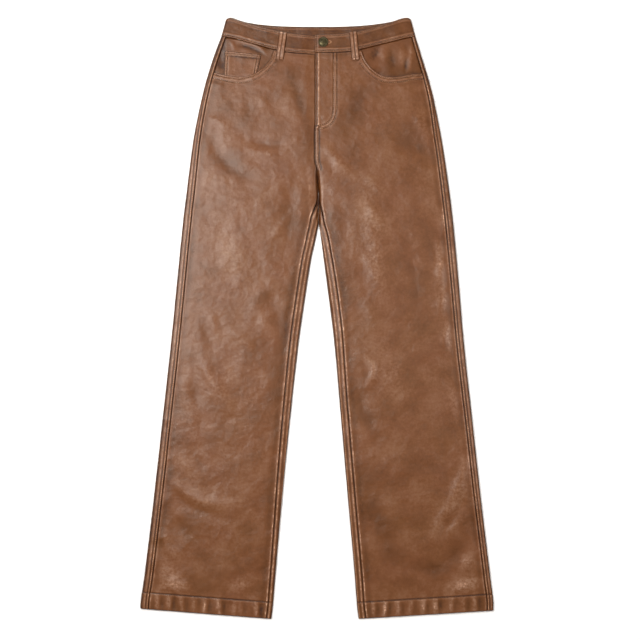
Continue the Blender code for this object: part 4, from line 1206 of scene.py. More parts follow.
@dataclass
class FrontPanel:
    """A front, from its inseam and the centre front to the side seam and the pocket's mouth."""

    leg: Leg
    flat: Pair = (0.305, 1.022)
    area: float = 0.205
    inner_steps: Numbers = (0, 0.3, 0.7, 1.2, 1.8, 2.5, 3.4, 4.6, 6.2, 8.2, 11.0)
    outer_steps: Numbers = (9.5, 7.6, 5.9, 4.5, 3.4, 2.5, 1.8, 1.2, 0.7, 0.3, 0)
    hem_steps: Numbers = (0, 0.3, 0.8, 1.5, 2.4, 4, 7, 10.5, 14, 17.5, 21, 24, 26.2, 27.6, 28.6, 29.4, 30,
                          30.6, 31.4, 32.6, 34.5, 37.5)
    top_steps: Numbers = (0, 0.3, 0.7, 1.2, 1.8, 2.4, 2.9, 3.4, 4.2, 5.3, 6.4, 7.6, 8.7, 9.4, 10, 10.6,
                          11.4, 12.8, 14.8, 17.5)
    fly_steps: Numbers = (2.4, 2.9, 3.4, 3.9, 4.6, 5.4, 6.2, 7.0, 7.8, 9.2, 11.2, 13.5, 16, 18.5)
    fly_curve_steps: tuple[float, float, float] = (20.0, 42.0, 1.3)
    band_columns: int = 17
    mouth_columns: int = 32
    row_step: float = 3.9
    fly_rows: tuple[float, float, float] = (332.0, 372.0, 1.4)  # finer net rows: from, to, step
    blend_level: float = 385.0
    blend_rows: int = 22
    pucker_reach: float = 9.0  # from a side edge, over which a pucker comes up
    # painted highlight on the hem's puckers and painted shade between them
    pucker_highlight_and_shade: float = 0.65
    inseam_top: float = 214.0
    inseam_fade: float = 30.0
    finish_change: float = 8.0  # over which one edge finish turns into the next
    centre_seam_foot: float = 262.0
    lap_foot: float = 260.0
    lap_fade: float = 30.0
    # The painted highlight along the roll beside the crotch: how far out, half width, level, half length
    roll: tuple[float, float, float, float] = (14.0, 2.6, 225.0, 32.0)
    roll_painted_highlight: float = 0.5
    fly_seam_rows: Pair = (FLY_FOOT, 474.0)
    centre_seam_rows: Pair = (268.0, 336.0)

    def __post_init__(self) -> None:
        """Work out the mouth and, on the left, the finer net round the fly's stitching."""
        self.form = Form(self.leg)
        self.fly = smooth_path(FLY_CURVE, 5)
        mouth = smooth_path(MOUTH[self.leg.word], 6)
        below = mouth[:, 1] < band_front("bottom", self.leg, mouth[:, 0]) - SEAM / 2
        inside = np.abs(mouth[:, 0]) < np.abs(self.seam_x(mouth[:, 1]))
        self.mouth = mouth[below & inside]
        if self.leg is Leg.LEFT:
            head = tuple(step for step in self.inner_steps if step < self.fly_steps[0])
            self.inner_steps = head + self.fly_steps + tuple(np.arange(*self.fly_curve_steps))
            self.band_columns = 10
            self.roll = (6.5, *self.roll[1:])

    def seam_x(self, level: Array) -> Array:
        """Give the side seam's X on the front's side."""
        width = OUTSEAM.read(self.leg.word, level) + SEAM / 2
        return self.form.outer(level) - self.leg.sign * width

    def surface(self, x: Array, y: Array) -> tuple[Array, Array]:
        """Shape and shade the cloth.

        Args:
            x: The places' X.
            y: The places' Y.

        Returns:
            The height and the tone at each.
        """
        form, out = self.form, self.form.from_inner(x, y)
        from_side = self.leg.sign * (self.seam_x(y) - x)
        cloth = form.along_cloth(out, y)
        from_inner = cloth - form.along_cloth(INSEAM.read(self.leg.word, y), y) - crotch_gap(y)
        from_band = band_front("bottom", self.leg, x) - SEAM / 2 - y
        up = y - form.hem(x)
        from_mouth = off_path(self.mouth, x, y)[0]
        pucker, reach = form.pucker(x, up), self.pucker_reach
        z = form.height(x, y) + pucker * spread(from_side, reach) * spread(from_inner, reach)
        # The tone takes painted shade and highlight from the creases, the strokes and the puckers, with
        # some wear on the creases' ridges
        tone = CREASE_WEAR_AND_SHADE * creased(CREASES, x, y) + creased(PAINTED_SHADE_AND_HIGHLIGHT, x, y) + self.pucker_highlight_and_shade * pucker
        below_crotch = ease((self.inseam_top - y) / self.inseam_fade)
        edges = [(FRONT_SIDE, from_side, 1.0), (FRONT_INSEAM, from_inner, below_crotch),
                 (UNDER_BAND, from_band, 1.0), (HEM_EDGE, up, 1.0), (MOUTH_EDGE, from_mouth, 1.0)]
        if self.leg is Leg.LEFT:
            at_fly = ease((y - FLY_FOOT) / self.finish_change + 0.5)
            at_seam = (1 - at_fly) * ease((y - self.centre_seam_foot) / self.finish_change)
            along_fly = off_path(self.fly, x, y)[0]
            edges += [(FLY_EDGE, from_inner, at_fly), (CENTRE_SEAM, from_inner, at_seam),
                      (FLY_ROWS, along_fly, ease((from_inner + 1) / 2))]
        else:
            edges.append((PLAIN_EDGE, from_inner, 1 - below_crotch))
            z = z - FLY_LAP * ease(1 - out / FLY_LAP_REACH) * ease((y - self.lap_foot) / self.lap_fade)
        for finish, distance, weight in edges:
            z = z + weight * finish.relief(distance)
            tone = tone + weight * finish.tone(distance)
        place, half_width, level, half_length = self.roll
        roll = hump(out - place, half_width) * hump(y - level, half_length)
        # Painted shade in the crotch's crevice, and a painted highlight along the roll beside it
        return z, tone - CREVICE_SHADE * form.crevice(out, y) + self.roll_painted_highlight * roll

    def levels(self) -> Array:
        """Space the net's rows, finer round the foot of the fly.

        Returns:
            Their levels, up to where the net starts to turn towards the mouth.
        """
        foot, knee, step = self.fly_rows
        start = HEM_LEVEL + self.hem_steps[-1]
        end = foot if self.leg is Leg.LEFT else self.blend_level
        rows = [HEM_LEVEL + np.array(self.hem_steps),
                np.linspace(start, end, int((end - start) / self.row_step))[1:]]
        if self.leg is Leg.LEFT:
            rows += [np.arange(foot + step, knee, step), np.linspace(knee, self.blend_level, 5)[1:]]
        return np.concatenate(rows)

    def lower_net(self) -> Array:
        """Lay the net from the hem to the blend level, evenly across the cloth.

        Returns:
            X and Y of each place.
        """
        form, levels = self.form, self.levels()[:, None]
        inner, outer = np.array(self.inner_steps), np.array(self.outer_steps)
        count = self.band_columns + self.mouth_columns
        shares = np.linspace(0, 1, count + 1)[1:-1]
        y = np.repeat(levels, len(inner) + len(shares) + len(outer), axis=1)
        for _ in range(SETTLING_ROUNDS):
            start = form.along_cloth(INSEAM.read(self.leg.word, y), y) + crotch_gap(y)
            width = np.abs(self.seam_x(y) - form.inner(y))
            end = form.along_cloth(width, y)
            low, high = start[:, :1] + inner[-1], end[:, -1:] - outer[0]
            cloth = np.concatenate((start[:, :len(inner)] + inner, mix(low, high, shares),
                                    end[:, -len(outer):] - outer), axis=1)
            x = form.inner(y) + self.leg.sign * form.out_from_fold(cloth, y)
            y = form.skew(x, levels, band_front("bottom", self.leg, x) - SEAM / 2)
        return np.stack((x, y), axis=-1)

    def top_edge(self) -> Array:
        """Lay the net's top edge, along the band and then the mouth.

        Returns:
            X and Y of each place.
        """
        inner, outer = np.array(self.inner_steps), np.array(self.outer_steps)
        corner = self.mouth[0]
        first = FLY_EDGE_X + self.leg.sign * (SEAM / 2 + inner)
        across = np.concatenate((first, np.linspace(first[-1], corner[0], self.band_columns + 1)[1:]))
        band = np.stack((across, band_front("bottom", self.leg, across) - SEAM / 2), axis=-1)
        total = lengths_along(self.mouth)[-1]
        steps = np.linspace(0, total - outer[0], self.mouth_columns + 1)[1:-1]
        return np.concatenate((band, at_lengths(self.mouth, np.concatenate((steps, total - outer)))))

    def net(self) -> Array:
        """Lay the whole net, its top rows spaced down from the band and the mouth.

        Returns:
            X and Y of each place.
        """
        lower, top = self.lower_net(), self.top_edge()
        foot = lower[-1]
        reach = top[:, 1] - foot[:, 1]
        steps = np.array(self.top_steps)[::-1, None] / reach
        even = np.linspace(0, 1, self.blend_rows + 1)[1:-1, None]
        t = np.concatenate((mix(1.0, steps[0], even), steps))
        x, y = mix(top[:, 0], foot[:, 0], ease(t)), top[:, 1] - t * reach
        n, m = len(self.inner_steps), len(self.outer_steps)
        sign = self.leg.sign
        x[:, -m:] = self.seam_x(y[:, -m:]) - sign * np.array(self.outer_steps)
        x[:, :n] = self.form.inner(y[:, :n]) + sign * (crotch_gap(y[:, :n]) + np.array(self.inner_steps))
        return np.concatenate((lower, np.stack((x, y), axis=-1)))

    def build(self, finishes: Finishes) -> Object:
        """Make the cloth, hang it on the root body, and hide the solid that it stands for.

        Args:
            finishes: The materials.

        Returns:
            The cloth.
        """
        plan = self.net()
        z, tone = self.surface(plan[..., 0], plan[..., 1])
        places = np.concatenate((plan, z[..., None]), axis=-1)
        name = f"front_{self.leg.word}"
        piece = cloth_piece(f"{name}_cloth", places, tone, finishes.leather, self.leg is Leg.RIGHT)
        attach(piece, "root")
        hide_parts(name)
        return piece

    def sew(self, sewing: Sewing) -> None:
        """Sew the rows that show on this front.

        Args:
            sewing: The stitches to add them to.
        """
        rows = [(shifted(self.mouth, -self.leg.sign * row), 0.0) for row in MOUTH_EDGE.rows]
        level = HEM_LEVEL + HEM_DEPTH
        seam = self.form.inner(level) + self.leg.sign * INSEAM.read(self.leg.word, level)
        x = np.linspace(self.seam_x(level), seam, 60)[1:-1]
        rows.append((np.stack((x, self.form.hem(x) + HEM_DEPTH), axis=-1), HEM_THREAD))
        if self.leg is Leg.LEFT:
            upright = [(self.fly_seam_rows, 60, FLY_EDGE.sewn[0])]
            upright += [(self.centre_seam_rows, 40, row) for row in CENTRE_SEAM.rows]
            for ends, count, off in upright:
                y = np.linspace(*ends, count)
                rows.append((np.stack((self.form.inner(y) + SEAM / 2 + off, y), axis=-1), 0.0))
            # The fly's curve starts under the band
            rows += [(shifted(self.fly[3:], side * FLY_ROWS.rows[0]), 0.0) for side in (-1, 1)]
        for row, tone in rows:
            z, _ = self.surface(row[:, 0], row[:, 1])
            sewing.sew(np.column_stack((row, z)), tone=tone)


@dataclass
class BackPanel:
    """A back, from the outseam round the outer fold, along the table and up the inner fold."""

    leg: Leg
    flat: Pair = (0.29, 1.05)
    area: float = 0.27
    row_step: float = 4.5
    hem_steps: Numbers = (0, 0.4, 1.0, 2.0, 4, 8, 13, 18, 23, 26.2, 27.6, 28.8, 30, 31.2, 32.6, 36)
    strip_steps: Numbers = (0, 0.3, 0.7, 1.2, 1.8, 2.4, 3.0, 3.8, 4.7, 5.6)
    strip_shares: Numbers = (0.25, 0.5, 0.75, 1.0)  # of the rest of the strip
    narrowest: float = 6.0
    turns: Numbers = (62, 38, 16, 0, -20, -45, -68, -90)
    floor_columns: int = 26
    inner_steps: Numbers = (0, 0.3, 0.7, 1.2, 1.8, 2.6, 3.4, 4.2, 5.0, 6.0, 7.0, 8.0, 9.0, 9.8, 10.6,
                            11.4, 12.6)
    inner_held: float = 6.0  # steps past this draw together where the strip is narrow
    inner_wide: float = 13.6
    inner_least: float = 9.0
    inner_turns: Numbers = (0.25, 0.5, 0.75, 1.0)
    pucker_share: float = 0.7
    # painted highlight on the hem's puckers and painted shade between them
    pucker_highlight_and_shade: float = 0.25
    dent_start: float = 8.0  # in from the folds
    dent_fade: float = 20.0
    dent_shade: float = 0.3  # painted shade in the underside's dents, for each mm

    def __post_init__(self) -> None:
        """Lay the rows' levels."""
        self.form = Form(self.leg)
        start = HEM_LEVEL + self.hem_steps[-1]
        even = np.linspace(start, WAIST_LEVEL, int((WAIST_LEVEL - start) / self.row_step))[1:]
        self.levels = np.concatenate((HEM_LEVEL + np.array(self.hem_steps), even))[:, None]

    def outer_run(self) -> tuple[Array, Array]:
        """Lay the strip beside the outer fold, and the fold.

        Returns:
            The places, and the tone at each.
        """
        form, sign, word = self.form, self.leg.sign, self.leg.word
        n, rest, turns = len(self.strip_steps), len(self.strip_shares), len(self.turns)
        fixed = np.array(self.strip_steps + (self.strip_steps[-1],) * (rest + turns))
        share = np.array((0.0,) * n + self.strip_shares + (1.0,) * turns)
        angle = np.radians((90.0,) * (n + rest) + self.turns)
        on_top = angle > math.pi / 2 - 0.01
        y = np.repeat(self.levels, len(fixed), axis=1)
        for _ in range(SETTLING_ROUNDS):
            radius = LOFT.read("edge", y) / 2
            flat = OUTSEAM.read(word, y) - SEAM / 2 - radius
            along = mix(fixed * np.minimum(1.0, flat / self.narrowest), flat, share)
            x = form.outer(y) - sign * (radius * (1 - np.cos(angle)) + flat - along)
            waist = np.where(on_top, band_front("bottom", self.leg, x), band_back("bottom", x))
            y = form.skew(x, self.levels, waist - SEAM / 2)
        up = y - form.hem(x)
        hem = HEM_EDGE.relief(up)
        x = x + sign * hem * np.cos(angle)
        pucker = self.pucker_share * form.pucker(x, up)
        settled = ease((flat - along) / 1.5)
        top = form.height(x, y) + (BACK_SIDE.relief(along) + pucker) * settled + hem
        z = np.where(on_top, top, radius + (radius + hem) * np.sin(angle))
        tone = np.where(on_top, BACK_SIDE.tone(along), 0.0) + HEM_EDGE.tone(up) + self.pucker_highlight_and_shade * pucker
        # Painted shade where the cloth turns down round the outer fold
        tone = tone - FOLD_SHADE * hump(form.from_outer(x, y), 3.0)
        return np.stack((x, y, z), axis=-1), tone

    def inner_run(self) -> tuple[Array, Array]:
        """Lay the strip beside the inner fold, from the inseam down, and the fold.

        Returns:
            The places, and the tone at each.
        """
        form, sign, word = self.form, self.leg.sign, self.leg.word
        steps = np.array(self.inner_steps)
        n, turns = len(steps), len(self.inner_turns)
        fixed = np.concatenate((steps, np.full(1 + turns, steps[-1])))
        below = np.array((0.0,) * (n + 1) + self.inner_turns)
        last = np.arange(len(fixed)) >= n
        y = np.repeat(self.levels, len(fixed), axis=1)
        for _ in range(SETTLING_ROUNDS):
            radius = LOFT.read("edge", y) / 2
            low = np.maximum(radius * (1 - ease((y - CROTCH_LEVEL) / CROTCH_LIFT)), 0.01)
            above = form.along_cloth(INSEAM.read(word, y), y) - crotch_gap(y)
            wide = np.maximum(above, self.inner_least)
            drawn = np.minimum(1.0, (wide - self.inner_held) / (self.inner_wide - self.inner_held))
            step = np.where(fixed > self.inner_held, mix(self.inner_held, fixed, drawn), fixed)
            along = np.where(last, wide, step)
            cloth = above - along - radius * math.pi / 2 * below
            turn = np.clip(-cloth / low, 0, math.pi / 2)
            beyond = np.maximum(-cloth - low * math.pi / 2, 0.0)
            outward = np.where(cloth > 0, form.out_from_fold(np.maximum(cloth, 0), y),
                               low * (1 - np.cos(turn)) + beyond)
            centre = np.where(y < CROTCH_LEVEL, form.inner(y), CROTCH_X + sign * SEAM / 2)
            x = centre + sign * outward
            y = form.skew(x, self.levels, band_back("bottom", x) - SEAM / 2)
        up = y - form.hem(x)
        hem = HEM_EDGE.relief(up)
        pucker = self.pucker_share * form.pucker(x, up)
        settled = ease(cloth / 3.0)
        top = form.height(x, y) + (BACK_INSEAM.relief(along) + pucker) * settled + hem
        z = np.where(cloth > 0, top, low - (low + hem) * np.sin(turn))
        x = x - sign * np.where(cloth > 0, 0.0, hem * np.cos(turn))
        tone = BACK_INSEAM.tone(along) * settled + HEM_EDGE.tone(up) + self.pucker_highlight_and_shade * pucker
        # Painted shade in the crotch's crevice and round the inner fold
        tone = tone - CREVICE_SHADE * form.crevice(outward, y) - FOLD_SHADE * hump(outward, 2.6)
        self.strip_width = above[:, 0]
        return np.stack((x, y, z), axis=-1), tone

    def build(self, finishes: Finishes) -> Object:
        """Make the cloth, hang it on the root body, and hide the solid that it stands for.

        Args:
            finishes: The materials.

        Returns:
            The cloth.
        """
        outer, outer_tone = self.outer_run()
        inner, inner_tone = self.inner_run()
        share = (np.arange(self.floor_columns) + 1) / (self.floor_columns + 1)
        x = mix(outer[:, -1:, 0], inner[:, -1:, 0], share)
        y = self.form.skew(x, self.levels, band_back("bottom", x) - SEAM / 2)
        up = y - self.form.hem(x)
        ends = np.minimum(self.form.from_outer(x, y), self.form.from_inner(x, y))
        dents = creased(UNDER_CREASES, x, y) * ease((ends - self.dent_start) / self.dent_fade)
        z = np.maximum(dents - HEM_EDGE.relief(up), 0.0)
        floor = np.stack((x, y, z), axis=-1)
        self.places = np.concatenate((outer, floor, inner[:, ::-1]), axis=1)
        self.places[..., 2] = np.maximum(self.places[..., 2], 0.0)
        # Painted shade in the underside's dents
        floor_tone = HEM_EDGE.tone(up) - self.dent_shade * dents
        tone = np.concatenate((outer_tone, floor_tone, inner_tone[:, ::-1]), axis=1)
        name = f"back_{self.leg.word}"
        piece = cloth_piece(f"{name}_cloth", self.places, tone, finishes.leather, self.leg is Leg.RIGHT)
        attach(piece, "root")
        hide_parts(name)
        return piece

    def sew(self, sewing: Sewing) -> None:
        """Sew the outseam's and the inseam's rows, and the hem's round the back.

        Args:
            sewing: The stitches to add them to.
        """
        columns = self.places.shape[1]
        sewing.sew(self.places[1:, self.strip_steps.index(BACK_SIDE.sewn[0])])
        for row in BACK_INSEAM.sewn:
            wide = self.strip_width > row + 2.0
            sewing.sew(self.places[wide, columns - 1 - self.inner_steps.index(row)])
        hem = self.places[self.hem_steps.index(HEM_DEPTH)]
        strip = len(self.strip_steps) + len(self.strip_shares)
        inner = columns - len(self.inner_steps)
        for run in (hem[1:strip], hem[inner:-1],
                    hem[strip + len(self.turns):inner - len(self.inner_turns) - 1]):
            sewing.sew(run, tone=HEM_THREAD)


@dataclass
class Waistband:
    """One strip from the buttonhole end, round the left fold, the back and the right fold, and under."""

    flat: Pair = (0.72, 0.036)
    front_reach: float = 165.0
    foot_steps: Numbers = (0, 0.3, 0.7, 1.2, 1.8, 2.4, 3.0, 3.7, 4.4, 5.2, 6.3, 7.6, 9.5, 12, 15)
    top_steps: Numbers = (12, 9.5, 7.6, 6.2, 4.9, 4.1, 3.6, 3.1, 2.6, 2.0, 1.4, 0.9, 0.5, 0.2, 0)
    end_steps: Numbers = (0, 0.3, 0.7, 1.2, 1.8, 2.5, 3.3, 4.1, 5.2, 6.6, 8.5)
    front_columns: int = 66
    back_columns: int = 60
    under_columns: int = 8
    turns: Numbers = (68, 45, 22, 0, -22, -45, -68)
    height: float = 34.0
    eyelet_radius: float = 2.9
    slot_end: float = 24.8
    slot_width: float = 1.4
    bar_turns: int = 9  # stitches round the slot's end, 20 degrees apart
    bar_radius: float = 1.0
    bar_length: float = 2.0
    bar_step: float = 0.8  # between the stitches beside the slot
    bar_lift: float = 0.05
    rope_height: float = 0.14  # of the slanting ripples along the foot
    # lighter on the ripples' crests by wear, with painted shade in their dips
    rope_wear_and_shade: float = 0.25
    # the whole band is darker by this
    left_shade: float = 0.36
    right_shade: float = 0.08  # more painted shade on the right half, which the left softbox lights more
    # painted shade where the band turns down round the folds
    fold_shade: float = 0.3
    # painted shade on the back and the underlap, which lie under the front's layer
    hidden_shade: float = 0.2

    def __post_init__(self) -> None:
        """Lay the rows across the band's height, as shares of it."""
        feet = np.array(self.foot_steps) / self.height
        tops = 1 - np.array(self.top_steps) / self.height
        between = np.linspace(feet[-1], tops[0], 4)[1:-1]
        self.rises = np.concatenate((feet, between, tops))[:, None]

    def edges(self, from_foot: Array, from_top: Array, x: Array) -> tuple[Array, Array]:
        """Finish both long edges, and ripple the band between them.

        Args:
            from_foot: How far up from the lower edge each place lies.
            from_top: How far down from the upper edge it lies.
            x: Its X.

        Returns:
            The relief, and the tone.
        """
        rope = np.sin(x / 0.95 + from_foot * 0.8) * hump(from_foot - 1.4, 1.6)
        ripple = 0.16 * np.sin(x / 9.0 + 2.0 * np.sin(x / 31.0)) * hump((from_foot - 17) / 17, 0.8)
        relief = BAND_FOOT.relief(from_foot) + BAND_TOP.relief(from_top) + self.rope_height * rope + ripple
        # The whole band is darker, and its right half has more painted shade against the left softbox's
        # stronger light
        shade = self.left_shade + self.right_shade * ease((20 - x) / 80)
        return relief, BAND_FOOT.tone(from_foot) + BAND_TOP.tone(from_top) + self.rope_wear_and_shade * rope - shade

    def front(self, leg: Leg, distances: Array) -> tuple[Array, Array]:
        """Lay the part over one front.

        Args:
            leg: The front's side.
            distances: The columns' distances from the buttonhole end's edge.

        Returns:
            The places, and the tone at each.
        """
        form = Form(leg)
        corner = mix(BAND_SIDE_BOTTOM, HALF_LENGTH, self.rises)
        inside = form.outer(corner) - leg.sign * LOFT.read("edge", corner) / 2
        x = mix(FLY_EDGE_X, inside, distances / self.front_reach)
        low, high = band_front("bottom", leg, x) + SEAM / 2, band_front("top", leg, x)
        y = mix(low, high, self.rises)
        relief, tone = self.edges(self.rises * (high - low), (1 - self.rises) * (high - low), x)
        z = band_height(form, x, y) + relief
        if leg is Leg.LEFT:
            z = z + BAND_END.relief(distances)
            tone = tone + BAND_END.tone(distances)
        else:
            z = z - (BAND_WALL + SEAM) * ease(1 - (FLY_EDGE_X - x) / BAND_DIP_REACH)
        return np.stack((x, y, z), axis=-1), tone

    def turn(self, leg: Leg) -> tuple[Array, Array]:
        """Lay the part round one fold, from the front to the back.

        Args:
            leg: The fold's side.

        Returns:
            The places, and the tone at each.
        """
        corner = mix(BAND_SIDE_BOTTOM, HALF_LENGTH, self.rises)
        radius, angle = LOFT.read("edge", corner) / 2, np.radians(self.turns)
        x = Form(leg).outer(corner) - leg.sign * radius * (1 - np.cos(angle))
        front = mix(band_front("bottom", leg, x) + SEAM / 2, band_front("top", leg, x), self.rises)
        back = mix(band_back("bottom", x) + SEAM / 2, band_back("top", x), self.rises)
        y = mix(front, back, (1 - np.sin(angle)) / 2)
        relief, tone = self.edges(self.rises * self.height, (1 - self.rises) * self.height, y * 0)
        x = x + leg.sign * relief * np.cos(angle)
        return np.stack((x, y, radius + (radius + relief) * np.sin(angle)), axis=-1), tone - self.fold_shade

    def back(self) -> tuple[Array, Array]:
        """Lay the part along the table, from the left fold to the right one.

        Returns:
            The places, and the tone at each.
        """
        corner = mix(BAND_SIDE_BOTTOM, HALF_LENGTH, self.rises)
        radius = LOFT.read("edge", corner) / 2
        ends = [Form(leg).outer(corner) - leg.sign * radius for leg in (Leg.LEFT, Leg.RIGHT)]
        x = mix(*ends, np.linspace(0, 1, self.back_columns))
        y = mix(band_back("bottom", x) + SEAM / 2, band_back("top", x), self.rises)
        relief, tone = self.edges(self.rises * self.height, (1 - self.rises) * self.height, x)
        return np.stack((x, y, np.maximum(-relief, 0.0)), axis=-1), tone - self.hidden_shade

    def under(self) -> tuple[Array, Array]:
        """Lay the underlap, which the button is set in.

        Returns:
            The places, and the tone at each.
        """
        share = np.linspace(0, 1, self.under_columns + 1)[1:]
        x = mix(FLY_EDGE_X, UNDERLAP_END, share) + 0 * self.rises
        edges = [mix(band_front("bottom", leg, at) + SEAM / 2, band_front("top", leg, at), self.rises)
                 for leg, at in ((Leg.RIGHT, FLY_EDGE_X + 0 * x), (Leg.LEFT, x))]
        y = mix(*edges, np.minimum(1.0, 2 * share))
        z = band_height(Form(Leg.LEFT), x, y) - BAND_WALL - SEAM
        return np.stack((x, y, z), axis=-1), 0 * x - self.hidden_shade

    def build(self, finishes: Finishes) -> Object:
        """Make the cloth, cut the buttonhole, hang it on the root body, and hide the solid that it stands
        for.

        Args:
            finishes: The materials.

        Returns:
            The cloth.
        """
        ends = np.array(self.end_steps)
        even = np.linspace(0, self.front_reach, self.front_columns)
        left = np.concatenate((ends, even[even > ends[-1] + 1]))
        runs = [self.front(Leg.LEFT, left), self.turn(Leg.LEFT), self.back(), self.turn(Leg.RIGHT),
                self.front(Leg.RIGHT, even[::-1]), self.under()]
        runs[3] = tuple(run[:, ::-1] for run in runs[3])
        self.left, self.right = runs[0][0], runs[4][0]
        places = np.concatenate([run[0] for run in runs], axis=1)
        places[..., 2] = np.maximum(places[..., 2], 0.0)
        tone = np.concatenate([run[1] for run in runs], axis=1)
        piece = cloth_piece("waistband_cloth", places, tone, finishes.leather, False, BAND_WALL - 0.2)
        self.back_places = runs[2][0]
        self._cut_buttonhole(piece)
        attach(piece, "root")
        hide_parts("waistband")
        return piece

    def face(self, x: float, y: float) -> float:
        """Give the height of the band's face on the left front."""
        return float(band_height(Form(Leg.LEFT), np.array(x), np.array(y)))

    def _cut_buttonhole(self, piece: Object) -> None:
        """Cut the eyelet and the slot through the upper layer, and keep the result as plain mesh.

        Args:
            piece: The band's cloth.
        """
        height = self.face(BUTTON_X, BUTTON_Y) - BAND_WALL / 2
        depth = BAND_WALL + 0.4
        hole = bmesh.new()
        bmesh.ops.create_cone(hole, cap_ends=True, segments=32, radius1=self.eyelet_radius,
                              radius2=self.eyelet_radius, depth=depth)
        slot = bmesh.new()
        bmesh.ops.create_cube(slot, size=1)
        length = self.slot_end - BUTTON_X
        for vert in slot.verts:
            vert.co = vert.co * Vector((length, self.slot_width, depth)) + Vector((length / 2, 0, 0))
        cutters = []
        for name, net in (("eyelet", hole), ("slot", slot)):
            bmesh.ops.scale(net, vec=(MM, MM, MM), verts=net.verts)
            mesh = bpy.data.meshes.new(name)
            net.to_mesh(mesh)
            net.free()
            cutter = bpy.data.objects.new(name, mesh)
            bpy.context.scene.collection.objects.link(cutter)
            cutter.location = (BUTTON_X * MM, BUTTON_Y * MM, height * MM)
            boolean = piece.modifiers.new(name, "BOOLEAN")
            boolean.operation = "DIFFERENCE"
            boolean.solver = "EXACT"
            boolean.object = cutter
            cutters.append(cutter)
        bpy.context.view_layer.update()
        shaped = piece.evaluated_get(bpy.context.evaluated_depsgraph_get())
        piece.data = bpy.data.meshes.new_from_object(shaped)
        piece.modifiers.clear()
        for cutter in cutters:
            bpy.data.objects.remove(cutter)

    def sew(self, sewing: Sewing) -> None:
        """Sew both long edges and the buttonhole end, and bind the buttonhole.

        Args:
            sewing: The stitches to add them to.
        """
        foot = self.foot_steps.index(BAND_FOOT.rows[0])
        top = len(self.rises) - len(self.top_steps) + self.top_steps.index(BAND_TOP.rows[0])
        for run in (self.left, self.right):
            sewing.sew(run[foot], 3.2, 2.7)
            sewing.sew(run[top])
        inside = self.back_places[[foot, top]] + np.array((0.0, 0.0, BAND_WALL + 0.1))
        for row in inside:
            sewing.sew(row)
        sewing.sew(self.left[foot:top, self.end_steps.index(BAND_END.rows[0])])
        centre = np.array((self.slot_end - self.bar_radius, BUTTON_Y))
        for k in range(self.bar_turns):
            angle = math.radians(20 * k - 80)
            way = np.array((math.cos(angle), math.sin(angle)))
            ends = centre + self.bar_radius * way, centre + (self.bar_radius + self.bar_length) * way
            path = np.array([(*end, self.face(*end) + self.bar_lift) for end in ends])
            sewing.sew(path, self.bar_length, self.bar_length)
        for side in (-1, 1):
            for x in np.arange(BUTTON_X + 6.0, centre[0], self.bar_step):
                path = np.array([(x, BUTTON_Y + side * reach, self.face(x, BUTTON_Y) + self.bar_lift)
                                 for reach in (0.9, 0.9 + self.bar_length)])
                sewing.sew(path, self.bar_length, self.bar_length)


@dataclass
class BeltLoop:
    """A folded strip, caught in the band's top and tacked to the panel below the band."""

    leg: Leg
    flat: Pair = (0.012, 0.056)
    steps: Numbers = (0, 0.3, 0.7, 1.1, 1.6, 2.2, 2.8, 3.4, 4.0, 4.9)
    rows: int = 44
    wall: float = 1.2
    bulge: float = 1.0
    step_length: float = 7.0
    half: float = 6.0
    tack_at: Pair = (0.07, 0.93)
    tack_depth: float = 0.45
    tack_half: float = 1.5
    ends_folded: tuple[Pair, ...] = ((0.985, 0.7), (0.015, 0.35))  # place along, height
    fold_half: float = 1.8
    waisting: float = 0.04  # the share that its middle is narrower
    step_start: float = 1.0  # below the band
    bulge_end: float = 0.95  # as a share of its length
    rub: float = 0.05
    fold_rub: float = 0.5
    # painted shade in the sunk tacks
    tack_shade: float = 0.25

    def build(self, finishes: Finishes) -> Object:
        """Make the strip, hang it on the root body, and hide the solid that it stands for.

        Args:
            finishes: The materials.

        Returns:
            The cloth.
        """
        top, low = (np.array(end) for end in LOOPS[self.leg.word])
        along = np.linspace(0, 1, self.rows)[:, None]
        edge = np.array(self.steps)
        across = np.concatenate((edge - self.half, [0.0], (self.half - edge)[::-1]))
        inward = self.half - np.abs(across)
        form = Form(self.leg)
        run = low - top
        length = np.linalg.norm(run)
        middle = mix(top, low, along[..., None])
        side = np.array((-run[1], run[0])) / length
        waist = 1 - self.waisting * np.sin(np.pi * along)
        x = middle[..., 0] + across * side[0] * waist
        y = middle[..., 1] + across * side[1] * waist
        band_edge = band_front("bottom", self.leg, x)
        on_panel = ease((band_edge - self.step_start - y) / self.step_length)
        base = mix(band_height(form, x, np.maximum(y, band_edge)),
                   form.height(x, np.minimum(y, band_edge), uneven=False), on_panel)
        ends = np.minimum(along, 1 - along) * length
        relief = LOOP_EDGE.relief(inward) + PLAIN_EDGE.relief(ends)
        bulge = self.bulge * np.sin(np.pi * np.clip(along / self.bulge_end, 0, 1)) ** 2
        tacks = sum(hump((along - place) * length, self.tack_half) for place in self.tack_at)
        folded = sum(height * hump((along - place) * length, self.fold_half)
                     for place, height in self.ends_folded)
        z = base + SEAM + self.wall + bulge + relief - self.tack_depth * tacks + folded
        tone = LOOP_EDGE.tone(inward) + self.fold_rub * folded - self.tack_shade * tacks + self.rub
        self.places = np.stack((x, y, z), axis=-1)
        piece = cloth_piece(f"belt_loop_{self.leg.word}_cloth", self.places, tone, finishes.leather,
                            False, self.wall)
        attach(piece, "root")
        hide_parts(f"belt_loop_{self.leg.word}")
        return piece

    def sew(self, sewing: Sewing) -> None:
        """Sew the two long rows, and a tack across each end.

        Args:
            sewing: The stitches to add them to.
        """
        column = self.steps.index(LOOP_EDGE.sewn[0])
        for at in (column, -1 - column):
            sewing.sew(self.places[2:-2, at], 3.0, 2.4)
        for place in self.tack_at:
            row = self.places[round(place * (self.rows - 1))]
            for shift in (-0.5, 0.0, 0.5):
                sewing.sew(row[3:-3] + np.array((0.0, shift, 0.12)), 1.5, 1.9)


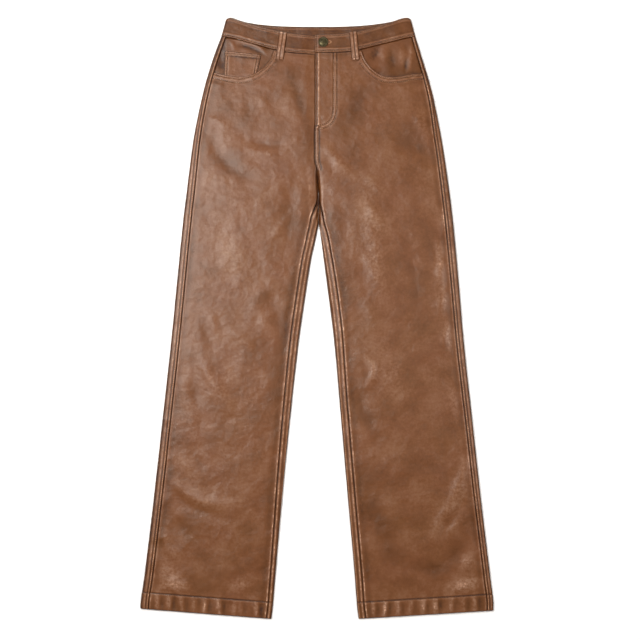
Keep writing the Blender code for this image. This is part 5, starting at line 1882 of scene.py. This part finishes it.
@dataclass
class PocketFacing:
    """The cloth in a pocket's mouth, held by the band and the side seam."""

    leg: Leg
    flat: Pair = (0.115, 0.09)
    area: float = 0.0085
    wall: float = 0.9
    columns: int = 56
    rows: int = 40
    hidden: float = 14.0
    sink: float = LAID_IN + 0.5
    # painted shade, for lying in the mouth under the front's edge
    shade: float = 0.2
    edge_shade: float = 0.4  # more painted shade, beside the mouth's edge and the side seam
    edge_shade_halves: Pair = (4.0, 2.5)
    ridge_painted_highlight: float = 0.6  # painted highlight on the folds' ridges, for each mm, where a trough's painted shade is 1
    covered: float = 1.5  # past the mouth's edge, where it still lies even
    opening: float = 7.0  # over which its folds come up

    def __post_init__(self) -> None:
        """Set the right facing lower, under its coin pocket."""
        if self.leg is Leg.RIGHT:
            self.sink = LAID_IN + 1.3

    def build(self, finishes: Finishes) -> Object:
        """Make the cloth, hang it on the root body, and hide the solid that it stands for.

        Args:
            finishes: The materials.

        Returns:
            The cloth.
        """
        form, word = Form(self.leg), self.leg.word
        start = MOUTH[word][0][0] - self.leg.sign * self.hidden
        across = np.linspace(0, 1, self.columns)
        up = np.linspace(0, 1, self.rows)[:, None]
        y = mix(FACING_BOTTOM, WAIST_LEVEL, up) + 0 * across
        for _ in range(SETTLING_ROUNDS):
            seam = form.outer(y) - self.leg.sign * (OUTSEAM.read(word, y) + SEAM / 2)
            x = mix(seam, start, across)
            y = mix(FACING_BOTTOM, band_front("bottom", self.leg, x) - SEAM / 2, up)
        mouth = smooth_path(MOUTH[word], 4)
        edge = np.interp(self.leg.sign * x, self.leg.sign * mouth[:, 0], mouth[:, 1])
        open_to_view = ease((y - edge - self.covered) / self.opening)
        loose = creased(FACING_CREASES[word], x, y) * open_to_view
        z = form.height(x, y, uneven=False) - self.sink + loose
        at_mouth, at_seam = self.edge_shade_halves
        shade = self.shade + self.edge_shade * (hump(y - edge, at_mouth) + hump(x - seam, at_seam))
        # Painted highlight on the folds' ridges, painted shade in their troughs and under the mouth's edge
        tone = np.where(loose > 0, self.ridge_painted_highlight, 1.0) * loose - shade
        piece = cloth_piece(f"pocket_facing_{word}_cloth", np.stack((x, y, z), axis=-1), tone,
                            finishes.facing, self.leg is Leg.LEFT, self.wall)
        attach(piece, "root")
        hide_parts(f"pocket_facing_{word}")
        return piece


@dataclass
class CoinPocket:
    """The small pocket on the right facing, held under the mouth's edge."""

    flat: Pair = (0.066, 0.056)
    area: float = 0.0031
    wall: float = 0.9
    side_steps: Numbers = (0, 0.3, 0.7, 1.2, 1.9, 2.6, 3.9, 5.2, 6.0, 6.8, 8.0, 10.0)
    top_steps: Numbers = (0, 0.3, 0.7, 1.3, 2.0, 2.6, 3.2, 3.8, 5.0, 6.1, 6.8, 7.5, 9.0)
    hollow_depth: float = 0.2
    middle_rub: float = 0.25
    contrast: float = 1.7  # its double rows stand out more than other edges
    shade: float = 0.2

    def build(self, finishes: Finishes) -> Object:
        """Make the cloth, hang it on the root body, and hide the solid that it stands for.

        Args:
            finishes: The materials.

        Returns:
            The cloth.
        """
        width = COIN_TOP_X[1] - COIN_TOP_X[0]
        side = np.array(self.side_steps) / width
        across = np.concatenate((side, np.linspace(side[-1], 1 - side[-1], 20)[1:-1], 1 - side[::-1]))
        tall = COIN_TOP_LEVELS[0] - COIN_BOTTOM
        down = np.array(self.top_steps) / tall
        up = (1 - np.concatenate((down, np.linspace(down[-1], 1, 20)[1:])))[:, None]
        x = mix(mix(*COIN_BOTTOM_X, across), mix(*COIN_TOP_X, across), up)
        y = mix(COIN_BOTTOM, mix(*COIN_TOP_LEVELS, across), up)
        sides = np.minimum(across, 1 - across) * width + 0 * up
        top = (1 - up) * tall + 0 * across
        hollow = hump(sides - 20, 14.0)
        relief = COIN_TOP.relief(top) + COIN_SIDE.relief(sides) - self.hollow_depth * hollow
        z = Form(Leg.RIGHT).height(x, y, uneven=False) - LAID_IN + relief
        tone = self.contrast * (COIN_TOP.tone(top) + COIN_SIDE.tone(sides)) - self.shade
        tone = tone + self.middle_rub * hollow * hump(top - 26, 16.0)
        self.places = np.stack((x, y, z), axis=-1)
        piece = cloth_piece("coin_pocket_cloth", self.places, tone, finishes.leather, True, self.wall)
        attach(piece, "root")
        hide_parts("coin_pocket")
        return piece

    def sew(self, sewing: Sewing) -> None:
        """Sew the double rows of its top and its sides.

        Args:
            sewing: The stitches to add them to.
        """
        for row in COIN_TOP.rows:
            sewing.sew(self.places[self.top_steps.index(row), 1:-1], 3.0, 2.3)
        for row in COIN_SIDE.rows:
            column = self.side_steps.index(row)
            for at in (column, -1 - column):
                sewing.sew(self.places[2:34 if at > 0 else 22, at], 3.0, 2.3)


@dataclass
class FlyShield:
    """The underlap behind the fly."""

    flat: Pair = (0.034, 0.126)
    area: float = 0.0038
    wall: float = 0.8
    edge: float = 30.0
    bottom: float = 350.0
    corner: float = 24.0  # its lower corner is round like the stitching over it
    sink: float = 2.2
    columns: int = 14
    rows: int = 44

    def build(self, finishes: Finishes) -> Object:
        """Make the cloth, hang it on the root body, and hide the solid that it stands for.

        Args:
            finishes: The materials.

        Returns:
            The cloth.
        """
        top = float(band_front("bottom", Leg.RIGHT, FLY_EDGE_X)) - SEAM
        across = np.linspace(0, 1, self.columns)
        up = np.linspace(0, 1, self.rows)[:, None]
        x = mix(FLY_EDGE_X + SEAM, self.edge, across) + 0 * up
        y = mix(self.bottom + self.corner * (1 - np.sqrt(1 - (0.97 * across) ** 2)), top, up)
        z = Form(Leg.LEFT).height(x, y, uneven=False) - self.sink
        piece = cloth_piece("fly_shield_cloth", np.stack((x, y, z), axis=-1), 0 * x, finishes.facing,
                            False, self.wall)
        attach(piece, "root")
        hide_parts("fly_shield")
        return piece


@dataclass
class TurnedHem:
    """The hem's turn-up, a flat ring inside the leg."""

    leg: Leg
    flat: Pair = (0.46, 0.03)
    wall: float = 0.8
    top_columns: int = 60
    floor_columns: int = 24
    turns: Numbers = (60, 30, 0, -30, -60)
    rows: int = 9
    sink: float = 0.4  # more, under the front
    # painted shade, for lying inside the leg
    shade: float = 0.2

    def build(self, finishes: Finishes) -> Object:
        """Make the ring, hang it on the root body, and hide the solid that it stands for.

        Args:
            finishes: The materials.

        Returns:
            The cloth.
        """
        form, sign = Form(self.leg), self.leg.sign
        up = np.linspace(0, 1, self.rows)[:, None]
        runs = []
        turns = np.radians(self.turns)
        for kind, values in (("top", np.linspace(0, 1, self.top_columns)), ("inner", turns),
                             ("floor", np.linspace(0, 1, self.floor_columns)), ("outer", turns[::-1])):
            y = mix(HEM_LEVEL, HEM_LEVEL + HEM_DEPTH, up) + 0 * values
            for _ in range(SETTLING_ROUNDS):
                radius = LOFT.read("edge", y) / 2 - LAID_IN
                outer, inner = form.outer(y) - sign * LAID_IN, form.inner(y) + sign * LAID_IN
                ends = outer - sign * radius, inner + sign * radius
                if kind in ("top", "floor"):
                    x = mix(*(ends if kind == "top" else ends[::-1]), values)
                else:
                    fold, way = (inner, sign) if kind == "inner" else (outer, -sign)
                    x = fold + way * radius * (1 - np.cos(values))
                y = form.hem(x) + SEAM + (HEM_DEPTH - SEAM) * up
            if kind == "top":
                z = form.height(x, y, uneven=False) - LAID_IN - self.sink
            elif kind == "floor":
                z = LAID_IN + 0 * x
            else:
                z = LOFT.read("edge", y) / 2 + radius * np.sin(values)
            runs.append(np.stack((x, y, z), axis=-1))
        places = np.concatenate(runs, axis=1)
        name = f"hem_{self.leg.word}"
        piece = cloth_piece(f"{name}_cloth", places, 0 * places[..., 0] - self.shade, finishes.leather,
                            self.leg is Leg.LEFT, self.wall, ring=True)
        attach(piece, "root")
        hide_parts(name)
        return piece


@dataclass
class TackButton:
    """A stamped cap with a rolled rim, on a shank that passes through the buttonhole."""

    profile: tuple[Pair, ...] = (
        (1.5, 3.0), (3.0, 2.93), (4.4, 2.78), (5.6, 2.55), (6.4, 2.3), (6.8, 2.08), (7.05, 2.0),
        (7.3, 2.1), (7.7, 2.24), (8.15, 2.2), (8.6, 1.95), (8.9, 1.5), (9.0, 1.0), (8.9, 0.5), (8.5, 0.1),
        (7.5, 0.0), (2.2, 0.0), (2.2, -2.2),
    )  # radius and height over the band
    crown: float = 3.02  # the middle's height
    segments: int = 64

    def build(self, finishes: Finishes, face: float) -> Object:
        """Turn the button, hang it on the root body, and hide the solid that it stands for.

        Args:
            finishes: The materials.
            face: The height of the band's face under it.

        Returns:
            The button.
        """
        rings = np.array(self.profile)
        angles = np.arange(self.segments) / self.segments * math.tau
        x = BUTTON_X + rings[:, :1] * np.cos(angles)
        y = BUTTON_Y + rings[:, :1] * np.sin(angles)
        z = rings[:, 1:] + face + SEAM + 0 * x
        body = np.stack((x, y, z), axis=-1).reshape(-1, 3)
        caps = [(BUTTON_X, BUTTON_Y, face + SEAM + self.crown), (BUTTON_X, BUTTON_Y, float(z[-1, 0]))]
        points = np.concatenate((body, caps))
        n, count = self.segments, len(rings)
        faces = [(r * n + k, (r + 1) * n + k, (r + 1) * n + (k + 1) % n, r * n + (k + 1) % n)
                 for r in range(count - 1) for k in range(n)]
        faces += [(count * n, k, (k + 1) % n) for k in range(n)]
        faces += [(count * n + 1, (count - 1) * n + (k + 1) % n, (count - 1) * n + k) for k in range(n)]
        piece = mesh_piece("button_cap", points, faces, finishes.brass)
        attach(piece, "root")
        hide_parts("button")
        return piece


@dataclass
class Studio:
    """The table, the soft lights and the camera over it. Lengths are in metres, but the lens's in mm."""

    # Each square lamp: its name, place, side and power in watts
    lamps: tuple[tuple[str, tuple[float, float, float], float, float], ...] = (
        ("left softbox", (-0.75, 0.28, 1.66), 0.9, 38.5),
        ("right softbox", (1.1, 0.0, 1.4), 0.7, 11.5),
        ("foot fill", (0.2, -2.3, 1.3), 1.4, 17.5),
        ("head fill", (0.0, 2.3, 1.3), 1.4, 31.0),
    )
    lamp_colour: str = "#FFF8EF"
    room_colour: str = "#F4F2EF"
    room_strength: float = 0.15
    eye: Pair = (0.0058, -0.0031)
    eye_height: float = 3.197
    lens: float = 100.0
    lens_frame: float = 36.0
    table_size: float = 9.0
    table_cells: int = 8
    table_drop: float = 0.00005

    def build(self) -> None:
        """Set the table, the lights and the camera."""
        net = bmesh.new()
        bmesh.ops.create_grid(net, x_segments=self.table_cells, y_segments=self.table_cells,
                              size=self.table_size / 2)
        mesh = bpy.data.meshes.new("table_top")
        net.to_mesh(mesh)
        net.free()
        mesh.materials.append(PaintedTable().material())
        table = bpy.data.objects.new("table_top", mesh)
        table.location.z = -self.table_drop
        bpy.context.scene.collection.objects.link(table)
        for lamp in self.lamps:
            self._light(*lamp)
        world = bpy.data.worlds.new("pale room")
        bpy.context.scene.world = world
        world.use_nodes = True
        feed(world.node_tree.nodes["Background"], {"Color": srgb(self.room_colour),
                                                   "Strength": self.room_strength})
        camera = bpy.data.objects.new("camera", bpy.data.cameras.new("camera"))
        camera.data.lens = self.lens
        camera.data.sensor_width = self.lens_frame
        camera.location = (*self.eye, self.eye_height)
        bpy.context.scene.collection.objects.link(camera)
        bpy.context.scene.camera = camera
        bpy.context.scene.view_settings.view_transform = "Standard"

    def _light(self, name: str, place: tuple[float, float, float], size: float, power: float) -> None:
        """Hang a square soft light that faces the middle of the table.

        Args:
            name: The light's name.
            place: Where it hangs, in metres.
            size: Its side.
            power: Its power in watts.
        """
        data = bpy.data.lights.new(name, "AREA")
        data.size = size
        data.energy = power
        data.color = srgb(self.lamp_colour)[:3]
        light = bpy.data.objects.new(name, data)
        light.location = place
        light.rotation_euler = (-Vector(place)).to_track_quat("-Z", "Y").to_euler()
        bpy.context.scene.collection.objects.link(light)


def report(piece: Object) -> None:
    """Log a piece's name and the faces of its net."""
    LOG.info("%s: %d faces", piece.name, len(piece.data.polygons))


def main() -> None:
    """Load the solids, build each piece round them, and set up the table, the lights and the camera."""
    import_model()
    finishes = Finishes.mix_up()
    seams, trims = Sewing("seam_stitching"), Sewing("trim_stitching", radius=0.3)
    for leg in Leg:
        for part in (BackPanel(leg), FrontPanel(leg)):
            report(part.build(finishes))
            part.sew(seams)
        report(TurnedHem(leg).build(finishes))
        report(PocketFacing(leg).build(finishes))
    band, coin = Waistband(), CoinPocket()
    for part in (band, coin, BeltLoop(Leg.RIGHT), BeltLoop(Leg.LEFT)):
        report(part.build(finishes))
        part.sew(trims)
    report(FlyShield().build(finishes))
    report(TackButton().build(finishes, band.face(BUTTON_X, BUTTON_Y)))
    for sewing in (seams, trims):
        report(sewing.piece(finishes))
    Studio().build()


if __name__ == "__main__":
    logging.basicConfig(level=logging.INFO, format="%(message)s")
    main()
